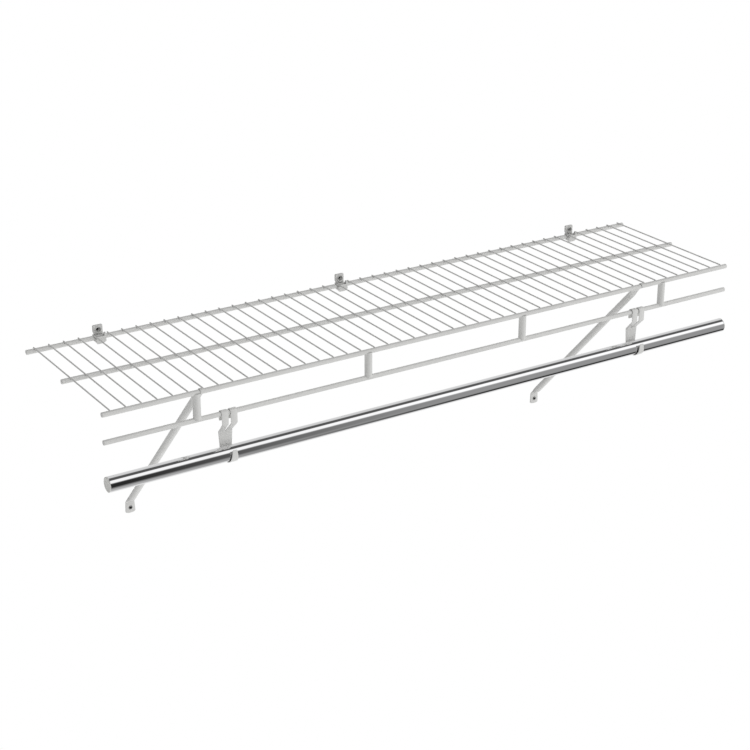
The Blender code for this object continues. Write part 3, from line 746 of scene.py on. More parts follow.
class Finishes:
    """All the finishes, built once and looked up by the record's slot."""

    def __init__(self) -> None:
        """Build every material."""
        # Painted shade: the wire coat darkens more strongly in the many small corners between deck wires
        # and rods.
        self.deck_shaded_coat = PowderCoat("powder_coated_wire", crevice_mm=4.0, crevice_shade=0.25).build()
        # Inside the hangers' cups, close to the tube, hardly any light gets in, so painted shade takes the
        # coat's colour down to a tenth there.
        self.hanger_shaded_coat = PowderCoat("powder_coated_sheet", crevice_mm=3.0, crevice_shade=0.10).build()
        self.by_slot = {
            Slot.COATED: PowderCoat().build(),
            Slot.MOULDED: MouldedPlastic("moulded_polypropylene", "#E4E4E2", "#DADAD8").build(),
            Slot.SCREW: DarkScrewSteel().build(),
            Slot.CHROME: ChromePlate().build(),
            Slot.CAP: MouldedPlastic("moulded_polyethylene", "#F8F8F5", "#F0F0EC").build(),
        }

    def dress(
        self,
        mesh: Mesh,
        name: str,
        slot: Slot,
        body: Body,
        nodes: tuple[str, ...],
        crease: float = 40.0,
        finish: Material | None = None,
    ) -> None:
        """Make a piece from a mesh, give it its finish and hang it on its body.

        Args:
            mesh: The piece's mesh, in place in the CAD frame.
            name: Name for the piece.
            slot: Material slot of the record.
            body: CAD body that the piece moves with.
            nodes: CAD nodes that the piece stands for.
            crease: Edges sharper than this many degrees stay sharp.
            finish: A variant of the slot's material, or None for the slot's own.
        """
        mesh.name = name
        mesh.materials.clear()
        mesh.materials.append(finish or self.by_slot[slot])
        mesh.shade_smooth()
        mesh.set_sharp_from_angle(angle=math.radians(crease))
        # The photograph's tube mirrors plain bands, so the frame's thin rods stay out of it.
        obj = add_object(name, mesh, visible_glossy=body is not Body.SHELF)
        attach(obj, body.value)
        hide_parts(*nodes)
        LOG.info("%s: %d faces, rides on %s", name, len(mesh.polygons), body.value)


@dataclass
class LongRods:
    """The shelf's four long rods, cut square and rounded by the coat at their ends."""

    sides: int = 40
    end_round: float = 0.0009
    end_steps: int = 4
    spans: int = 12

    def profile(self, half: float) -> list[Point]:
        """Return a rod's profile with rounded ends.

        Args:
            half: Half the rod's length.

        Returns:
            Points of radius and height from end to end.
        """
        inner = PLAN.rod_radius - self.end_round
        straight = half - self.end_round
        top = [(inner / 2, half), *arc((inner, straight), self.end_round, QUARTER, 0, self.end_steps)]
        shares = [index / self.spans for index in range(1, self.spans)]
        middle = [(PLAN.rod_radius, blend(straight, -straight, share)) for share in shares]
        return [*top, *middle, *((radius, -height) for radius, height in reversed(top))]

    def add(self, shape: BMesh, y: float, z: float) -> None:
        """Add one rod to a bmesh.

        Args:
            shape: The bmesh to add to.
            y: The rod's Y.
            z: The rod's Z.
        """
        half = PLAN.length / 2
        place = Matrix.Translation(Vector((PLAN.at(half), y, z))) @ TO_RIGHT
        Sculptor.turned(shape, self.profile(half), self.sides, place)

    def build(self, finishes: Finishes) -> None:
        """Build the front rod and the lip rod; the deck takes the other two.

        Args:
            finishes: Where the materials are kept.
        """
        for node, z in (("front_rod", 0.0), ("lip_rod", PLAN.lip_z)):
            mesh = Sculptor.solid(self.add, PLAN.front_y, z)
            finishes.dress(mesh, f"{node}_coated", Slot.COATED, Body.SHELF, (node,))


@dataclass
class Deck:
    """Deck wires welded half into the middle and back rods, with their weld beads."""

    wire_radius: float = 0.00125
    weld_sink: float = 0.0014
    tail: float = 0.0036
    back_rise: float = 0.0004
    front_drop: float = 0.0005
    knee_out: float = 0.0012
    bend_radius: float = 0.0022
    sides: int = 14
    spans: int = 10
    end_round: float = 0.00035
    weld_swell: float = 1.12
    sway: float = 0.00012
    bead_radii: tuple[float, float, float] = (0.0021, 0.0019, 0.0011)
    bead_drop: float = 0.0007
    seed: int = 7

    @property
    def wire_z(self) -> float:
        """Height of the wires' centres over the rods' centres."""
        return PLAN.rod_radius + self.wire_radius - self.weld_sink

    def path(self) -> list[Row]:
        """Return a wire's centre line.

        The wire falls a little to the front, where it points at the rod's centre.

        Returns:
            Y, Z and radius of each step, back end first.
        """
        back_z = self.wire_z + self.back_rise
        z = self.wire_z - self.front_drop
        slope = math.asin(z / (PLAN.rod_radius + self.knee_out))
        knee = (PLAN.front_y + z / math.tan(slope), z)
        reach = PLAN.clear_radius - PLAN.gap / 2
        tip = (PLAN.front_y + reach * math.cos(slope), reach * math.sin(slope))
        start = PLAN.back_y + self.tail
        full, cut = self.wire_radius, self.end_round
        # The cut end's round: how far in from the end, and how much thinner.
        rounding = ((0, 1), (0.3, 0.3), (1, 0))
        line = [(start - cut * inset, back_z, full - cut * less) for inset, less in rounding]
        last = knee[0] + self.bend_radius / 2
        for index in range(1, self.spans):
            share = index / self.spans
            line.append((blend(start, last, share), blend(back_z, z, share), full))
        bend = corner_arc((start, back_z), knee, tip, self.bend_radius, 6)
        line.extend((y, height, full) for y, height in bend)
        line.append((blend(bend[-1][0], tip[0], 0.6), blend(bend[-1][1], tip[1], 0.6), full))
        return [*line, (*tip, full * self.weld_swell)]

    def add_wire(self, shape: BMesh, x: float, sway: float) -> None:
        """Add one wire.

        Args:
            shape: The bmesh to add to.
            x: The wire's X.
            sway: How far the wire bows sideways between its welds.
        """
        line = self.path()
        angles = [2 * math.pi * step / self.sides for step in range(self.sides)]
        rings = []
        for index, (y, z, radius) in enumerate(line):
            before, after = line[max(index - 1, 0)], line[min(index + 1, len(line) - 1)]
            heading = Vector((0, after[0] - before[0], after[1] - before[1])).normalized()
            normal = Vector((0, -heading.z, heading.y))
            bow = sway * math.sin((y - PLAN.front_y) / PLAN.deck_depth * 2 * math.pi)
            centre = Vector((x + bow, y, z))
            offsets = [Vector((math.cos(a), 0, 0)) + normal * math.sin(a) for a in angles]
            rings.append([centre + offset * radius for offset in offsets])
        Sculptor.loft(shape, rings)

    def build(self, finishes: Finishes, rods: LongRods) -> None:
        """Build the deck's wires, its two rods and the weld beads.

        Args:
            finishes: Where the materials are kept.
            rods: Builder of the long rods.
        """
        draw = random.Random(self.seed)
        crossed = (PLAN.back_y, PLAN.middle_y)
        long, wires, beads = bmesh.new(), bmesh.new(), bmesh.new()
        for y in crossed:
            rods.add(long, y, 0.0)
        for index in range(PLAN.wire_count):
            x = PLAN.wire_x(index)
            self.add_wire(wires, x, draw.uniform(-self.sway, self.sway))
            for y in crossed:
                radii = Vector(self.bead_radii) * draw.uniform(0.9, 1.1)
                Sculptor.blob(beads, Vector((x, y, self.wire_z - self.bead_drop)), radii)
        coat = finishes.deck_shaded_coat
        for filled, label, finish in ((long, "rods", None), (wires, "wires", coat), (beads, "welds", coat)):
            mesh = Sculptor.finish_mesh(filled)
            name = f"deck_{label}_coated"
            finishes.dress(mesh, name, Slot.COATED, Body.SHELF, ("deck_grid",), finish=finish)


@dataclass
class Posts:
    """Short tubes between the front rod and the lip rod, their ends cut to hug the rods."""

    radius: float = 0.00625
    wall: float = 0.0011
    first: float = 0.1538
    pitch: float = 0.3048
    count: int = 4
    reach: float = -0.0010
    sides: int = 72
    flare: float = 0.0005
    flare_height: float = 0.0011
    # How unevenly the weld was laid, and how many ripples it has in a metre.
    ripple: float = 0.2
    ripple_rate: float = 700

    def cope(self, y: float) -> float:
        """Return how far above the rod's centre the tube's end lies at a depth.

        Args:
            y: Distance in front of or behind the rod's centre.

        Returns:
            Height over the centre of the rod above, below zero under the rod.
        """
        rod = PLAN.rod_radius - PLAN.gap / 2
        under = -math.sqrt(rod * rod - y * y) if abs(y) < rod else 0.0
        return min(under, self.reach)

    def ring(self, radius: float, upper: bool, back: float = 0.0) -> list[Vector]:
        """Return one edge of the tube, coped to a rod.

        Args:
            radius: Radius of the edge.
            upper: True for the end under the front rod.
            back: Distance along the tube from the coped end.

        Returns:
            Points round the tube, around the front rod's centre.
        """
        points = []
        for index in range(self.sides):
            angle = 2 * math.pi * index / self.sides
            x, y = radius * math.cos(angle), radius * math.sin(angle)
            height = self.cope(y) - back
            points.append(Vector((x, y, height if upper else PLAN.lip_z - height)))
        return points

    def weld(self, upper: bool) -> list[list[Vector]]:
        """Return the rings of the smooth weld where the tube widens onto a rod.

        Args:
            upper: True for the end under the front rod.

        Returns:
            The rings, the coped end first.
        """
        rings = []
        for share in (0.0, 0.3, 0.65, 1.0):
            ring = self.ring(self.radius, upper, self.flare_height * share)
            for point in ring:
                flat = Vector((point.x, point.y, 0))
                contact = max(0.0, 1 - abs(point.y) / PLAN.rod_radius)
                swell = 1 + self.ripple * noise.noise(flat * self.ripple_rate)
                point += flat.normalized() * self.flare * (1 - share) ** 2 * ease(contact) * swell
            rings.append(ring)
        return rings

    def build(self, finishes: Finishes) -> None:
        """Build the posts, each welded smoothly to both rods.

        Args:
            finishes: Where the materials are kept.
        """
        inner = self.radius - self.wall
        for number in range(self.count):
            shape = bmesh.new()
            rings = [*self.weld(True), *reversed(self.weld(False))]
            rings.extend((self.ring(inner, False), self.ring(inner, True)))
            Sculptor.loft(shape, rings, closed=True)
            place = Vector((PLAN.at(self.first + number * self.pitch), PLAN.front_y, 0))
            bmesh.ops.translate(shape, vec=place, verts=shape.verts)
            name = f"post_{number + 1}"
            mesh = Sculptor.finish_mesh(shape)
            finishes.dress(mesh, f"{name}_coated", Slot.COATED, Body.SHELF, (name,), 50.0)


@dataclass
class WallClips:
    """Moulded wall clips and their screws."""

    wires: tuple[int, ...] = (4, 22, 42)
    wire_offset: float = 0.0090
    plate_width: float = 0.0166
    plate_top: float = 0.0197
    plate_bottom: float = 0.0040
    plate_thickness: float = 0.0039
    plate_corner: float = 0.0016
    collar_diameter: float = 0.0112
    collar_height: float = 0.0122
    collar_length: float = 0.0062
    bore_diameter: float = 0.0088
    floor: float = 0.0010
    jaw_left: float = 0.0088
    jaw_right: float = 0.0086
    jaw_top: float = 0.0096
    jaw_bottom: float = 0.0098
    jaw_front: float = 0.0098
    jaw_edge: float = 0.0004
    throat_from: float = math.radians(20)
    throat_to: float = -math.radians(210)
    shoulder: float = 0.0052
    nose_left: float = 0.0062
    nose_right: float = 0.0044
    nose_rise: float = 0.0016
    lip_top: float = 0.0040
    block_left: float = 0.0058
    pocket_diameter: float = 0.0030
    pocket_depth: float = 0.0055
    pocket_side: float = 0.0045
    pocket_inset: float = 0.0019
    wall_clearance: float = 0.0004
    notch_half: float = 0.0020
    notch_bottom: float = 0.0009
    notch_top: float = 0.0076
    shank: float = 0.0026
    head: float = 0.0046
    head_height: float = 0.0012
    voxel: float = 0.00028
    relax_rounds: int = 6

    def side_outline(self) -> list[Point]:
        """Return the jaw's side outline.

        Returns:
            Corners around the back rod's centre.
        """
        rod = PLAN.clear_radius
        back = PLAN.rod_to_wall - self.wall_clearance
        edge, front, bottom = self.jaw_edge, -self.jaw_front, -self.jaw_bottom
        return [
            (back, rod * math.sin(self.throat_from)),
            *arc((0, 0), rod, self.throat_from, self.throat_to, 28),
            (-rod, self.jaw_top - edge * 4),
            (-rod - edge * 4, self.jaw_top),
            (front + edge * 3, self.jaw_top - edge),
            (front + edge, self.jaw_top - edge * 4),
            (front, bottom / 2),
            (front + edge * 3, bottom + edge * 3),
            (front / 2, bottom),
            (rod / 2, bottom + edge * 4),
            (back, bottom / 2),
        ]

    def front_outline(self) -> list[Point]:
        """Return the jaw's front outline.

        Returns:
            Corners around the plate's middle, wire side left.
        """
        left, right = -self.jaw_left, self.jaw_right
        bottom = -self.jaw_bottom * 2
        nose = self.nose_rise - self.jaw_bottom
        step = self.notch_half - self.wire_offset
        top = self.jaw_top + self.jaw_front
        return [
            (left, -self.shoulder),
            (-self.nose_left, nose),
            (-self.nose_left / 4, bottom),
            (self.nose_right / 2, bottom),
            (self.nose_right, nose),
            (right, -self.shoulder),
            (right, top),
            (self.block_left, top),
            (self.block_left, self.lip_top),
            (step, self.lip_top),
            (step, self.notch_bottom),
            (left, self.notch_bottom),
        ]

    def plate_outline(self) -> list[Point]:
        """Return the plate's front outline.

        Returns:
            Corners around the plate's middle.
        """
        half, corner = self.plate_width / 2, self.plate_corner
        top = self.plate_top - corner
        return [
            (-half, -self.plate_bottom),
            (half, -self.plate_bottom),
            *arc((half - corner, top), corner, 0, QUARTER, 6),
            *arc((corner - half, top), corner, QUARTER, QUARTER * 2, 6),
        ]

    def clip_mesh(self) -> Mesh:
        """Build one clip around the plate's middle, on the wall plane.

        Returns:
            The clip's mesh.
        """
        side_on = Matrix(((0, 0, 1, 0), (1, 0, 0, 0), (0, 1, 0, 0), (0, 0, 0, 1)))
        rod_at = Matrix.Translation((0, PLAN.back_y, 0))
        plate_at = Matrix.Translation((0, -self.plate_thickness / 2, 0)) @ TO_FRONT
        screw_at = Matrix.Translation((0, 0, self.collar_height)) @ TO_FRONT
        pocket_y = PLAN.back_y - PLAN.clear_radius - self.pocket_inset
        pocket_at = Matrix.Translation((self.pocket_side, pocket_y, self.lip_top))
        wide, deep = self.plate_width * 2, self.pocket_depth
        solid, prism, bar = Sculptor.solid, Sculptor.prism, Sculptor.bar
        plate = solid(prism, self.plate_outline(), self.plate_thickness, plate_at)
        jaw = solid(prism, self.side_outline(), wide, rod_at @ side_on)
        face = solid(prism, self.front_outline(), wide * 2, rod_at @ TO_FRONT)
        collar = bar(self.collar_diameter, self.plate_thickness / 2, self.collar_length, 48, screw_at)
        low = Vector((-self.wire_offset - self.notch_half, -wide, self.notch_bottom))
        high = Vector((-self.wire_offset + self.notch_half, wide, self.notch_top))
        cutters = (
            bar(PLAN.clear_radius * 2, -wide, wide, 64, rod_at @ TO_RIGHT),
            bar(self.bore_diameter, self.floor, self.collar_length * 2, 48, screw_at),
            bar(self.shank + PLAN.gap * 2, -self.floor, self.floor * 2, 48, screw_at),
            solid(Sculptor.block, low, high),
            bar(self.pocket_diameter, -deep, deep, 32, pocket_at),
        )
        steps = [("UNION", collar), ("UNION", Sculptor.combine(jaw, [("INTERSECT", face)]))]
        steps.extend(("DIFFERENCE", cutter) for cutter in cutters)
        return Sculptor.soften(Sculptor.combine(plate, steps), self.voxel, self.relax_rounds)

    def build(self, finishes: Finishes) -> None:
        """Build the clips and their screws.

        Args:
            finishes: Where the materials are kept.
        """
        clip = self.clip_mesh()
        screw = Screws.mesh(self.head, self.head_height, self.shank, self.floor)
        for label, wire in zip(("left", "middle", "right"), self.wires):
            x = PLAN.wire_x(wire) + self.wire_offset
            mesh = clip.copy()
            mesh.transform(Matrix.Translation((x, 0, 0)))
            name = f"wall_clip_{label}"
            finishes.dress(mesh, f"{name}_moulded", Slot.MOULDED, Body.WALL, (name,), 60.0)
            mesh = screw.copy()
            mesh.transform(Matrix.Translation((x, -self.floor - PLAN.gap, self.collar_height)))
            name = f"clip_screw_{label}"
            finishes.dress(mesh, f"{name}_black", Slot.SCREW, Body.WALL, (name,))


class Screws:
    """Pan head screws with a cross recess, its sizes as shares of the head's."""

    DOME = ((0.0, 1.0), (0.3, 0.99), (0.55, 0.93), (0.78, 0.78), (0.92, 0.55), (1.0, 0.25), (1.0, 0.0))
    CENTRE = 0.02
    ARM = 0.58
    SLOT = 0.11
    DEEP = 0.62
    TURNED = math.radians(20)

    @classmethod
    def mesh(cls, head: float, height: float, shank: float, grip: float) -> Mesh:
        """Return a screw along Y, its head's seat at the origin.

        Args:
            head: Diameter of the head.
            height: Height of the head.
            shank: Diameter of the shank.
            grip: Length of shank that is in the piece it holds.

        Returns:
            The mesh.
        """
        radius = head / 2
        profile = [(radius * max(out, cls.CENTRE), height * up) for out, up in cls.DOME]
        profile.extend([(shank / 2, 0), (shank / 2, -grip)])
        arm, slot, deep = radius * cls.ARM, radius * cls.SLOT, height * cls.DEEP
        levels = ((height * 1.2, arm * 1.15, slot * 1.2), (height - deep, arm * 0.35, slot * 0.8))
        cutters = []
        for spin in (0, QUARTER):
            place = TO_FRONT @ Matrix.Rotation(spin + cls.TURNED, 4, "Z")
            rings = []
            for level, reach, half in levels:
                corners = ((-reach, -half), (reach, -half), (reach, half), (-reach, half))
                rings.append([place @ Vector((*corner, level)) for corner in corners])
            cutters.append(("DIFFERENCE", Sculptor.solid(Sculptor.loft, rings)))
        return Sculptor.combine(Sculptor.solid(Sculptor.turned, profile, 40, TO_FRONT), cutters)


@dataclass
class Brace:
    """A tube flattened at both ends: a foot tab on the wall and a hook on the front rod.

    Its sections are rows of Y, Z, share of the foot's sideways shift, width,
    thickness and corner radius, around the front rod's centre.
    """

    label: str
    station: float
    body: Body
    diameter: float = 0.0118
    foot_shift: float = 0.0013
    foot_bend: float = 0.3097
    bend_to_hole: float = 0.0112
    hole_to_end: float = 0.0099
    foot_round: float = 0.0034
    foot_width: float = 0.0182
    foot_neck: float = 0.0166
    foot_thickness: float = 0.0024
    # The foot's end is rounded as a flat oval, of this power.
    foot_power: float = 2.6
    foot_steps: int = 8
    flat_length: float = 0.0165
    top_depth: float = 0.0093
    top_drop: float = 0.0059
    top_width: float = 0.0182
    top_flat: float = 0.0080
    top_blend: float = 0.0160
    shoulder: float = 0.0014
    hook_width: float = 0.0062
    hook_thickness: float = 0.0011
    hook_drop: float = 0.0012
    bend_radius: float = 0.0030
    corner_share: float = 0.46
    corner_steps: int = 9
    taper_steps: int = 12
    tube_steps: int = 10
    screw_head: float = 0.0065
    screw_height: float = 0.0018
    shank: float = 0.0038

    @property
    def hole_z(self) -> float:
        """Height of the foot's screw hole."""
        return -self.foot_bend - self.bend_to_hole

    def sections(self) -> list[Row]:
        """Return all the sections.

        Returns:
            The rows from foot to hook.
        """
        foot_y = -PLAN.front_y - self.foot_thickness / 2
        end_z = self.hole_z - self.hole_to_end
        bend = Vector((foot_y, -self.foot_bend))
        top = Vector((self.top_depth, -self.top_drop))
        slant = (top - bend).normalized()
        flat = self.foot_thickness * self.corner_share
        rows = []
        for index in range(self.foot_steps + 1):
            share = blend(0.02, 1.0, (index / self.foot_steps) ** 1.8)
            spread = (1 - (1 - share) ** self.foot_power) ** (1 / self.foot_power)
            z = end_z + self.foot_round * share
            rows.append((foot_y, z, 1, self.foot_width * spread, self.foot_thickness, flat))
        for y, z in corner_arc((foot_y, end_z), tuple(bend), tuple(top), self.bend_radius, 6):
            rows.append((y, z, 1, self.foot_neck, self.foot_thickness, flat))
        return [*rows, *self.tube(bend, top, slant), *self.hook(top, slant)]

    def pressed(self, width: float, thickness: float, share: float) -> Row:
        """Return a section between the pressed flat form and the round tube.

        Args:
            width: Width of the flat form.
            thickness: Thickness of the flat form.
            share: How far it has become the tube.

        Returns:
            Width, thickness and corner radius.
        """
        corner = blend(thickness * self.corner_share, self.diameter / 2, share)
        return blend(width, self.diameter, share), blend(thickness, self.diameter, share), corner

    def tube(self, bend: Vector, top: Vector, slant: Vector) -> list[Row]:
        """Return the sections from the foot's bend to the shoulder below the hook.

        Args:
            bend: Where the foot turns into the slant.
            top: Where the slant ends.
            slant: Direction of the slant.

        Returns:
            The rows, going up.
        """
        run = (top - bend).length
        steps = self.taper_steps
        rows = []
        for index in range(1, steps + 1):
            along = blend(self.bend_radius, self.flat_length, index / steps)
            section = self.pressed(self.foot_neck, self.foot_thickness, ease(index / steps))
            rows.append((*(bend + slant * along), 1 - along / run, *section))
        far = run - self.top_flat - self.top_blend
        for index in range(1, self.tube_steps):
            along = blend(self.flat_length, far, index / self.tube_steps)
            size = (self.diameter, self.diameter, self.diameter / 2)
            rows.append((*(bend + slant * along), 1 - along / run, *size))
        for index in range(steps + 1):
            back = blend(self.top_flat + self.top_blend, self.top_flat, index / steps)
            section = self.pressed(self.top_width, self.hook_thickness, ease(1 - index / steps))
            rows.append((*(top - slant * back), back / run, *section))
        return rows

    def hook(self, top: Vector, slant: Vector) -> list[Row]:
        """Return the sections of the shoulder and of the strip over the front rod.

        Args:
            top: Where the slant ends.
            slant: Direction of the slant.

        Returns:
            The rows, on to the strip's free end.
        """
        thick, wide = self.hook_thickness, self.hook_width
        flat = thick * self.corner_share
        middle = PLAN.clear_radius + thick / 2
        tangent = math.atan2(top.y, top.x) + math.acos(middle / top.length)
        wrap = arc((0, 0), middle, tangent, math.pi, 18)
        rows = [(*(top - slant * self.shoulder), 0, self.top_width, thick, flat)]
        outward = (Vector(wrap[0]) - top).normalized()
        for share in (0.0, 0.25, 0.6, 1.0):
            width = blend(wide, self.top_width * 0.92, (1 - share) ** 2)
            rows.append((*(top + outward * self.shoulder * share), 0, width, thick, flat))
        rows.extend((y, z, 0, wide, thick, flat) for y, z in wrap)
        # The cut end: its rise, then what the coat's round leaves of width and thickness.
        for rise, across, through in ((0.0008, 1, 1), (0.0002, 0.93, 0.9), (0, 0.82, 0.7)):
            size = (wide * across, thick * through, flat * through)
            rows.append((-middle, rise - self.hook_drop, 0, *size))
        return rows

    def build(self, finishes: Finishes) -> None:
        """Build the brace, with its screw hole, and its screw.

        Args:
            finishes: Where the materials are kept.
        """
        rows = self.sections()
        spots = [Vector(row[:2]) for row in rows]
        rings = []
        for index, (y, z, shift, *size) in enumerate(rows):
            before, after = spots[max(index - 1, 0)], spots[min(index + 1, len(spots) - 1)]
            heading = (after - before).normalized()
            if 0 < index < len(spots) - 1:
                incoming = (spots[index] - before).normalized()
                heading = (incoming + (after - spots[index]).normalized()).normalized()
            normal = Vector((0, -heading.y, heading.x))
            centre = Vector((self.foot_shift * shift, y, z))
            rings.append(Sculptor.rounded_ring(centre, normal, *size, self.corner_steps))
        x = PLAN.at(self.station)
        mesh = Sculptor.solid(Sculptor.loft, rings)
        mesh.transform(Matrix.Translation((x, PLAN.front_y, 0)))
        place = Matrix.Translation((x + self.foot_shift, 0, self.hole_z)) @ TO_FRONT
        reach = self.foot_thickness * 2
        hole = Sculptor.bar(self.shank + PLAN.gap * 2, -reach, reach, 40, place)
        mesh = Sculptor.combine(mesh, [("DIFFERENCE", hole)])
        name = f"brace_{self.label}"
        finishes.dress(mesh, f"{name}_coated", Slot.COATED, self.body, (name,), 50.0)

        screw = Screws.mesh(self.screw_head, self.screw_height, self.shank, self.foot_thickness)
        seat = Vector((x + self.foot_shift, -self.foot_thickness - PLAN.gap, self.hole_z))
        screw.transform(Matrix.Translation(seat))
        name = f"brace_screw_{self.label}"
        finishes.dress(screw, f"{name}_black", Slot.SCREW, self.body, (name,))


@dataclass
class Hanger:
    """A bent sheet hanger: a split hook on the lip rod and a cup for the hanging rod.

    Its rows are Y, Z, width and slot width, around the lip rod's centre.
    """

    label: str
    station: float
    body: Body
    thickness: float = 0.0014
    tab_span: float = 0.0264
    slot: float = 0.0040
    slot_end: float = 0.0030
    tail: float = 0.0129
    jog_top: float = 0.0174
    jog_bottom: float = 0.0344
    plate_top: float = 0.0238
    plate_bottom: float = 0.0202
    cup_width: float = 0.0143
    lip_width: float = 0.0086
    lip_corner: float = 0.0014
    lip_rise: float = 0.0085
    bend_radius: float = 0.0030
    edge_round: float = 0.0003
    taper_from: float = 0.55
    cup_steps: int = 28
    # Rounded corners as shares of the corner's radius: distance from the end and cut.
    TAB_CORNERS = ((0.0, 1.6), (0.15, 0.7), (0.5, 0.15), (1.0, 0.0))
    LIP_CORNERS = ((3.4, 0.0), (1.6, 0.0), (1.0, 0.1), (0.5, 0.5), (0.2, 1.1), (0.0, 2.2))
    # How wide the slot still is on the lower bend, where it closes in a round end.
    SLOT_CLOSES = (1.0, 0.95, 0.78, 0.45, 0, 0, 0)

    def rows(self) -> list[Row]:
        """Return all the sheet's rows.

        Returns:
            The rows from the hook's free end to the cup's lip.
        """
        hook = PLAN.clear_radius + self.thickness / 2
        cup = PLAN.cup_radius + self.thickness / 2
        plate_y = cup - PLAN.cup_forward
        corner, tab = self.lip_corner, self.tab_span
        rows = []
        for share, cut in self.TAB_CORNERS:
            z = -self.tail + corner * share
            rows.append((hook, z, tab - corner * cut, self.slot + corner * cut))
        rows.append((hook, -self.tail / 2, tab, self.slot))
        rows.extend((y, z, tab, self.slot) for y, z in arc((0, 0), hook, 0, math.pi, 20))
        jog_top, jog_bottom = (-hook, -self.jog_top), (plate_y, -self.jog_bottom)
        cup_back = (plate_y, -PLAN.cup_drop)
        upper = corner_arc((-hook, 0), jog_top, jog_bottom, self.bend_radius, 6)
        lower = corner_arc(jog_top, jog_bottom, cup_back, self.bend_radius, 6)
        rows.append((-hook, blend(0, upper[0][1], 0.5), tab, self.slot))
        rows.extend((y, z, tab, self.slot) for y, z in upper)
        for index in range(1, 8):
            share = index / 8
            y = blend(upper[-1][0], lower[0][0], share)
            z = blend(upper[-1][1], lower[0][1], share)
            width, slot = (tab, self.plate_top), (self.slot, self.slot_end)
            rows.append((y, z, blend(*width, ease(share)), blend(*slot, ease(share))))
        for (y, z), share in zip(lower, self.SLOT_CLOSES):
            rows.append((y, z, self.plate_top, self.slot_end * share))
        for index in range(1, 7):
            share = index / 6
            width = blend(self.plate_top, self.plate_bottom, share)
            rows.append((plate_y, blend(lower[-1][1], -PLAN.cup_drop, share), width, 0))
        return [*rows, *self.cup_rows(cup)]

    def cup_rows(self, cup: float) -> list[Row]:
        """Return the rows of the cup and its lip.

        Args:
            cup: Radius of the cup at the middle of the sheet.

        Returns:
            The rows from the plate to the lip's free end.
        """
        bowl = arc((-PLAN.cup_forward, -PLAN.cup_drop), cup, 0, -math.pi, self.cup_steps)
        run = math.pi * cup * (1 - self.taper_from)
        foot = blend(self.cup_width, self.lip_width, run / (run + self.lip_rise))
        rows = []
        for index, (y, z) in enumerate(bowl[1:], start=1):
            share = index / self.cup_steps
            if share < self.taper_from:
                width = blend(self.plate_bottom, self.cup_width, share / self.taper_from)
            else:
                past = (share - self.taper_from) / (1 - self.taper_from)
                width = blend(self.cup_width, foot, past)
            rows.append((y, z, width, 0))
        top = self.lip_rise - PLAN.cup_drop
        for share, cut in self.LIP_CORNERS:
            z, width = top - self.lip_corner * share, self.lip_width - self.lip_corner * cut
            rows.append((-PLAN.cup_forward - cup, z, width, 0))
        return rows

    def sheet(self) -> Mesh:
        """Build the bent sheet without its thickness.

        Returns:
            An open mesh, with one vertex on the middle line where the slot is closed.
        """
        shape = bmesh.new()
        previous = None
        for y, z, width, slot in self.rows():
            line = []
            for side in (-1, 1):
                near, far = slot / 2 * side, width / 2 * side
                line.append([Vector((x, y, z)) for x in (near, blend(near, far, 0.5), far)])
            if slot == 0:
                middle = shape.verts.new(line[0][0])
                sides = [[middle, *(shape.verts.new(p) for p in half[1:])] for half in line]
            else:
                sides = [[shape.verts.new(p) for p in half] for half in line]
            for old, new in zip(previous or (), sides):
                for index in range(2):
                    shape.faces.new((old[index], old[index + 1], new[index + 1], new[index]))
            previous = sides
        place = (PLAN.at(self.station), PLAN.front_y, PLAN.lip_z)
        bmesh.ops.translate(shape, vec=place, verts=shape.verts)
        return Sculptor.finish_mesh(shape)

    def build(self, finishes: Finishes) -> None:
        """Build the sheet, give it its thickness and break its edges.

        Args:
            finishes: Where the materials are kept.
        """
        sheet = add_object("scratch", self.sheet())
        solid = sheet.modifiers.new("Sheet", "SOLIDIFY")
        configure(solid, thickness=self.thickness, offset=0, use_even_offset=True)
        edges = sheet.modifiers.new("Edges", "BEVEL")
        configure(edges, width=self.edge_round, segments=2, use_clamp_overlap=True)
        configure(edges, limit_method="ANGLE", angle_limit=math.radians(50))
        mesh = Sculptor.with_modifiers(sheet)
        name = f"hanger_{self.label}"
        coat = finishes.hanger_shaded_coat
        finishes.dress(mesh, f"{name}_coated", Slot.COATED, self.body, (name,), 50.0, finish=coat)


